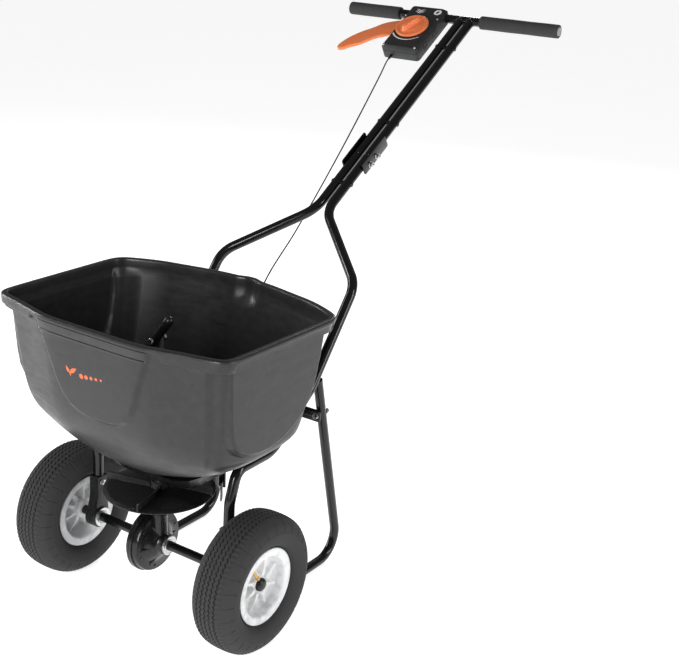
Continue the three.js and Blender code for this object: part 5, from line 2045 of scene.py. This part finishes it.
# ---------------------------------------------------------------- wheels
@dataclass
class Wheel:
    """One wheel: a ribbed white rim with a treaded pneumatic tyre and its valve."""

    centre: float = 221.0
    height: float = 130.0
    ribs: int = 8
    waves: int = 84
    valve_lean: float = 0.62

    def rib_height(self, radius: Array, angle: Array, low: Array, high: float, rise: float) -> Array:
        """How high the pockets, ribs and hub reach at points of one face.

        Args:
            radius: The points' distances from the axle.
            angle: Their angles.
            low: The pocket's floor.
            high: The height of the ribs at the barrel.
            rise: How much the ribs rise to the hub.

        Returns:
            The height of the face.
        """
        step = TURN / self.ribs
        off = np.abs((angle + step) % step - step / 2) * radius
        top = high + rise * smoothstep(54, 20, radius)
        width = 2.1 + 1.3 * smoothstep(34, 18, radius) + 1.6 * smoothstep(46, 56, radius)
        rib = smoothstep(width + 2.6, width, off)
        return low + (top - low) * rib

    def face(self, outboard: bool) -> Array:
        """The rows of one face of the rim, from the hub's bore to the flange."""
        angles = np.arange(360) * TURN / 360
        rows = []
        if outboard:
            marks = ((9.2, 18.0), (11, 18.0), (15.4, 18.0), (16.2, 17.6), (16.6, 16.6))
        else:
            marks = ((9.2, 26.0), (11, 26.0), (15.8, 26.0), (16.6, 25.6), (17.0, 24.6))
        for radius, height in marks:
            rows.append((radius, np.full(360, height)))
        floor, high, rise = (9.0, 16.5, 3.5) if outboard else (-3.0, 5.0, 9.0)
        for radius in np.linspace(17.6 if not outboard else 17.2, 52, 44):
            size = np.full(360, radius)
            fillet = 3.2 * (smoothstep(22, 17, size) + smoothstep(47, 52.5, size) * 1.4)
            rows.append((radius, self.rib_height(size, angles, floor + fillet, high, rise)))
        start = ((52.8, 15.2), (53.6, 17.0)) if outboard else ((52.8, 8.0), (53.6, 13.0))
        barrel = start + (
            (54.4, 20), (55.6, 27.0), (56.4, 30.2), (57.6, 31.8), (59.6, 32.6), (68.5, 33.0),
            (70.6, 33.0), (71.6, 32.6), (72.0, 31.6),
        )  # fmt: skip
        for radius, height in barrel:
            rows.append((radius, np.full(360, height)))
        sign = 1.0 if outboard else -1.0
        return np.array(
            [np.column_stack([sign * h, r * np.cos(angles), r * np.sin(angles)]) for r, h in rows]
        )

    def rim(self) -> Shape:
        """The whole rim as one closed skin."""
        angles = np.arange(360) * TURN / 360
        outer, inner = self.face(True), self.face(False)
        seat = (
            (71.6, 30.4), (70.2, 29.6), (66, 28.9), (62.8, 28.4), (61.5, 26.6), (61.5, 12),
            (59.5, 9), (59.5, -9), (61.5, -12), (61.5, -26.6), (62.8, -28.4), (66, -28.9),
            (70.2, -29.6), (71.6, -30.4)
        )  # fmt: skip
        bead = np.array(
            [
                np.column_stack([np.full(360, x), r * np.cos(angles), r * np.sin(angles)])
                for r, x in seat
            ]
        )
        return Shape.grid(np.concatenate([outer, bead, inner[::-1]]), wrap_rows=True)

    def tyre(self) -> Shape:
        """The tyre: side walls with ring lines, shoulder ticks and a zig-zag ribbed tread."""
        count = self.waves * 6
        angles = np.arange(count) * TURN / count
        phase = angles * self.waves / TURN % 1.0
        wave = 4 * np.abs(phase - 0.5) - 1
        outer = smooth_curve(
            [
                (0, 130), (13, 129.4), (25, 127), (34, 121.4), (41, 113), (44, 98), (40, 83),
                (28.8, 72.9)
            ],
            10
        )
        lengths = np.concatenate([[0], np.cumsum(np.linalg.norm(np.diff(outer, axis=0), axis=1))])
        rows = []
        spots = np.unique(np.concatenate([np.linspace(0, 30, 61), np.linspace(30, lengths[-1], 64)]))
        for where in spots:
            x, r = np.interp(where, lengths, outer[:, 0]), np.interp(where, lengths, outer[:, 1])
            zig = 1.7 * wave * smoothstep(34, 27, where)
            # Rows follow the wave, so a groove keeps its shape all round.
            deep = max(float(smoothstep(1.7, 0.9, abs(where - groove))) for groove in (0.0, 9.4, 18.8))
            sink = np.full(count, 2.4 * deep * (where < 27))
            tick = (np.abs((angles * 28 / TURN) % 1.0 - 0.5) * TURN / 28 * r) < 1.3
            sink = sink + 1.3 * tick * smoothstep(103, 105, r) * smoothstep(125, 123, r) * (where > 24)
            line = 0.5 * math.exp(-(((r - 101.5) / 0.8) ** 2)) + 0.45 * math.exp(-(((r - 78.5) / 0.7) ** 2))
            sink = sink - line * (where > 30)
            rows.append((x, zig, r, sink, where))
        made = []
        for side in (-1, 1):
            half = []
            for x, zig, r, sink, where in rows:
                normal_r = float(smoothstep(60, 26, where))
                shift_x = np.full(count, min(x, 44.0) * side) + zig * (where < 30)
                shift_x = shift_x - side * sink * (1 - normal_r)
                radius = r - sink * max(normal_r, 0.15)
                half.append(np.column_stack([shift_x, radius * np.cos(angles), radius * np.sin(angles)]))
            made.append(half)
        ring = made[0][::-1] + made[1][1:]
        inside = (
            (28.4, 62.6), (25, 62.2), (24, 62.6), (25, 74), (34, 84), (37, 98), (33, 110),
            (20, 120), (0, 123), (-20, 120), (-33, 110), (-37, 98), (-34, 84), (-25, 74),
            (-24, 62.6), (-25, 62.2), (-28.4, 62.6)
        )  # fmt: skip
        for x, r in inside:
            ring.append(np.column_stack([np.full(count, x), r * np.cos(angles), r * np.sin(angles)]))
        return Shape.grid(np.array(ring), wrap_rows=True)

    def nubs(self) -> Shape:
        """The fine vent hairs that the mould leaves on the side walls."""
        rng = np.random.default_rng(7)
        parts = []
        for side in (-1, 1):
            for i in range(14):
                angle = TURN * (i + rng.uniform(-0.1, 0.1)) / 14
                radius = 86.0 if i % 2 else 92.0
                x = 41.2 if i % 2 else 43.2
                nub = Shape.turned([(x - 1, 0), (x - 1, 0.45), (x + 0.8, 0.4), (x + 0.9, 0)], 8)
                nub = nub if side > 0 else nub.mirrored()
                parts.append(nub.moved(0, radius * math.cos(angle), radius * math.sin(angle)))
        return parts[0].plus(*parts[1:])

    def valve(self) -> Shape:
        """The valve stem with its rubber foot's step, thread and cap."""
        profile = [(52, 0), (52, 4), (48, 4), (44, 3.4), (40, 3.0), (36, 3.0)]
        for i in range(9):
            profile.append((35.5 - i * 0.5, 2.8 if i % 2 else 3.05))
        profile += [(31, 2.9), (30.8, 3.7), (24, 3.6), (22.6, 3.2), (22, 2.2), (22, 0)]
        stem = Shape.turned(profile, 24, axis=Axis.Z)
        flutes = [
            Shape.block(-0.35, 0.35, 3.3, 3.95, 23.6, 30.2).spun(Axis.Z, TURN * i / 12)
            for i in range(12)
        ]
        return stem.plus(*flutes).moved(24.5, 0, 0)

    def build(self, shop: Workshop) -> None:
        """Makes both wheels."""
        rim, tyre, nubs = self.rim(), self.tyre(), self.nubs()
        valve = self.valve()
        for name, side, body in (("right", 1, Body.DRIVE), ("left", -1, Body.FREE_WHEEL)):
            def put(shape: Shape) -> Shape:
                """The shape on this side's wheel."""
                turned = shape if side > 0 else shape.spun(Axis.Z, math.pi)
                return turned.moved(side * self.centre, 0, self.height)

            shop.make(f"white_rim_{name}", put(rim), WHITE, body, (f"wheel_rim_{name}",), crease=48)
            shop.make(
                f"treaded_tyre_{name}",
                put(tyre.plus(nubs)),
                RUBBER,
                body,
                (f"tyre_{name}",),
                crease=34,
            )
            stem = valve.spun(Axis.X, self.valve_lean)
            shop.make(f"brass_valve_{name}", put(stem), BRASS, body, (f"valve_{name}",))


# ---------------------------------------------------------------- spreading
@dataclass
class Spinner:
    """The spinner disc with its four vanes, on the upright shaft."""

    vanes: int = 4

    def disc(self) -> Shape:
        """The dished disc with its turned-up edge and hub."""
        profile = [
            (243, 20), (243, 92), (242.6, 95), (241.4, 99), (240.4, 102.4), (240.8, 103.4),
            (242.4, 103.2), (244.2, 99.4), (245.6, 95.6), (246, 92), (246, 20), (246.6, 17.4),
            (256.2, 16), (257, 15.2), (257, 6.05), (233, 6.05), (233, 16.4), (233.6, 17),
            (240.6, 18)
        ]  # fmt: skip
        return Shape.turned(profile, 144, axis=Axis.Z, closed=True)

    def vane(self) -> Shape:
        """One bent vane: a foot, an upright wall that grows outwards and a folded edge."""
        rows = []
        for share in np.linspace(0, 1, 26):
            r = 14 + 88.6 * share
            sweep = 8 + 2.2 * math.sin(share * math.pi)
            top = 256 + 3.0 * math.sin(min(share * 1.15, 1.0) * math.pi / 2)
            low = 244.5 if r < 94 else 244.5 - (r - 94) * 0.42
            half = 1.5 - 0.3 * share
            rows.append([
                (r, sweep - half - 1.4, low), (r, sweep - half - 0.3, low + 1.6),
                (r, sweep - half, low + 4), (r, sweep - half, top - 0.8),
                (r, sweep - half + 0.6, top), (r, sweep + half + 2.6, top),
                (r, sweep + half + 3.2, top - 0.7), (r, sweep + half + 2.6, top - 1.6),
                (r, sweep + half, top - 2.4), (r, sweep + half, low + 4),
                (r, sweep + half + 0.3, low + 1.6), (r, sweep + half + 1.4, low),
            ])  # fmt: skip
        return Shape.grid(np.array(rows), cap_start=True, cap_end=True)

    def shaft(self) -> Shape:
        """The upright shaft with its chamfered ends."""
        profile = [(164.5, 0), (164.5, 5.4), (165.1, 6)] + [
            (z, 6)
            for z in np.linspace(170, 544, 24)
        ] + [(548.2, 6), (549, 5.2), (549, 0)]
        return Shape.turned(profile, 36, axis=Axis.Z)

    def build(self, shop: Workshop) -> None:
        """Makes the spinner."""
        vanes = [self.vane().spun(Axis.Z, -1.3 + i * TURN / self.vanes) for i in range(self.vanes)]
        shop.make("dished_disc", self.disc().plus(*vanes), SPINNER, Body.SPINNER, ("spinner_disc",))
        shop.make("spinner_rod", self.shaft(), STEEL, Body.SPINNER, ("spinner_shaft",))


@dataclass
class Agitator:
    """The moulded agitator that stirs the hopper's floor, bolted to the shaft's end."""

    radius: float = 8.5
    length: float = 128.0
    lean: float = 37.0
    centre: Point = (0.0, -14.8, 536.0)

    def arm(self) -> Shape:
        """The arm: a capsule, leant over."""
        half = self.length / 2
        profile = [(-half, 0)]
        for a in np.linspace(0.25, math.pi / 2, 7):
            profile.append((-half + self.radius * (1 - math.cos(a)), self.radius * math.sin(a)))
        profile += [
            (x, self.radius)
            for x in np.linspace(-half + self.radius + 4, half - self.radius - 4, 12)
        ]
        for a in np.linspace(math.pi / 2, 0.25, 7):
            profile.append((half - self.radius * (1 - math.cos(a)), self.radius * math.sin(a)))
        profile.append((half, 0))
        body = Shape.turned(profile, 40, axis=Axis.Z)
        return body.spun(Axis.Y, math.radians(self.lean)).moved(*self.centre)

    def bolt(self) -> Shape:
        """The bolt along y with its nut."""
        kit = Fastener(3.0, 10.0, 3.6, 6.4)
        along = kit.hexagon(-28, -24.4).plus(
            kit.disc(-24.4, -23.4, 6.4), kit.hexagon(7, 12), kit.thread(11.6, 14)
        )
        turned = along.placed(ALONG_Y)
        return turned.moved(0, 0, 536)

    def build(self, shop: Workshop) -> None:
        """Makes the agitator."""
        shop.make("stirring_arm", self.arm(), DARK, Body.SPINNER, ("agitator_arm",))
        shop.make("stirring_arm_bolt", self.bolt(), ZINC, Body.SPINNER, ("agitator_bolt",))


# ---------------------------------------------------------------- studio
@dataclass
class Studio:
    """The floor, the soft light and the camera."""

    eye: Point = (1.42533, -1.96895, 1.30202)
    across: float = 33.58
    up: float = 19.52
    roll: float = 3.17
    lens: float = 65.72
    world: float = 0.16
    glow: float = 0.78

    def floor(self) -> None:
        """A pale floor with faint clouds and grain."""
        shape = Shape.block(-60000, 60000, -60000, 60000, -20, 0)
        mesh = bpy.data.meshes.new("floor")
        mesh.from_pydata((shape.points * METRES).tolist(), [], shape.faces)
        floor = bpy.data.objects.new("floor", mesh)
        bpy.context.scene.collection.objects.link(floor)
        rig = NodeRig("studio_floor")
        rig.link(
            rig.tones(rig.noise(1.2, 3), [(0.3, (0.90, 0.90, 0.905)), (0.7, (0.93, 0.93, 0.93))]),
            rig.shader.inputs["Base Color"],
        )
        rig.link(rig.spread(rig.noise(5, 3), 0.6, 0.75), rig.shader.inputs["Roughness"])
        rig.set(emission_color=(1.0, 1.0, 1.0), emission_strength=self.glow)
        mesh.materials.append(rig.material)

    def softbox(
        self, name: str, place: Point, target: Point, size: tuple[float, float], power: float
    ) -> None:
        """One soft light.

        Args:
            name: The light's name.
            place: Where it stands, in metres.
            target: The spot that it faces.
            size: Its width and height in metres.
            power: Its power in watts.
        """
        light = bpy.data.lights.new(name, "AREA")
        light.shape = "RECTANGLE"
        light.size, light.size_y = size
        light.energy = power
        thing = bpy.data.objects.new(name, light)
        thing.location = place
        thing.rotation_euler = (Vector(target) - Vector(place)).to_track_quat("-Z", "Y").to_euler()
        bpy.context.scene.collection.objects.link(thing)

    def camera(self) -> None:
        """The camera, level with the machine's own view."""
        scene = bpy.context.scene
        az, el, roll = (math.radians(v) for v in (self.across, self.up, self.roll))
        back = np.array([math.sin(az) * math.cos(el), -math.cos(az) * math.cos(el), math.sin(el)])
        right = np.array([math.cos(az), math.sin(az), 0.0])
        over = np.cross(back, right)
        level = right * math.cos(roll) + over * math.sin(roll)
        upright = over * math.cos(roll) - right * math.sin(roll)
        data = bpy.data.cameras.new("main_camera")
        data.sensor_fit = "HORIZONTAL"
        data.sensor_width = 36.0
        data.lens = self.lens
        data.clip_start, data.clip_end = 0.1, 60.0
        camera = bpy.data.objects.new("main_camera", data)
        rows = [(*level, 0.0), (*upright, 0.0), (*back, 0.0), (*self.eye, 1.0)]
        camera.matrix_world = Matrix(rows).transposed()
        scene.collection.objects.link(camera)
        scene.camera = camera

    def build(self) -> None:
        """Sets the studio up."""
        self.floor()
        world = bpy.data.worlds.new("studio_world")
        world.use_nodes = True
        shade = world.node_tree.nodes["Background"]
        shade.inputs["Color"].default_value = (1.0, 1.0, 1.0, 1.0)
        shade.inputs["Strength"].default_value = self.world
        bpy.context.scene.world = world
        aim = (0.0, 0.1, 0.5)
        self.softbox("key_light", (0.5, -3.4, 1.5), aim, (0.7, 1.6), 62)
        self.softbox("left_strip", (-3.0, -1.2, 1.3), aim, (0.4, 2.2), 46)
        self.softbox("right_strip", (3.0, 0.3, 1.5), aim, (0.4, 2.2), 34)
        self.softbox("rear_light", (-1.0, 3.2, 2.2), aim, (1.0, 0.5), 30)
        self.camera()
        bpy.context.scene.view_settings.view_transform = "Standard"


def main() -> None:
    """Builds the machine piece by piece, then the studio."""
    logging.basicConfig(level=logging.INFO, format="%(name)s: %(message)s")
    shop = Workshop()
    for part in (
        Hopper(), HandleBar(), HandleColumn(), ControlBox(), RateDial(), ShutterLever(), ControlCable(),
        FrameTubes(), RestLegs(), AxleBrackets(), Gearbox(), Axle(), Wheel(), Spinner(), Agitator(),
    ):  # fmt: skip
        part.build(shop)
    for node in ("ring_gear", "pinion"):
        shop.refinish(node, DARK)
    for node in ("shutter_plate", "shutter_rail_left", "shutter_rail_right"):
        shop.refinish(node, ZINC)
    # The collar and deflector under the hopper get the hopper plastic darkened as painted shade.
    for node in ("outlet_collar", "rear_deflector"):
        shop.refinish(node, SHADED_HOPPER_PLASTIC)
    Studio().build()
    LOG.info("%d pieces made", len(shop.made))


if __name__ == "__main__":
    main()
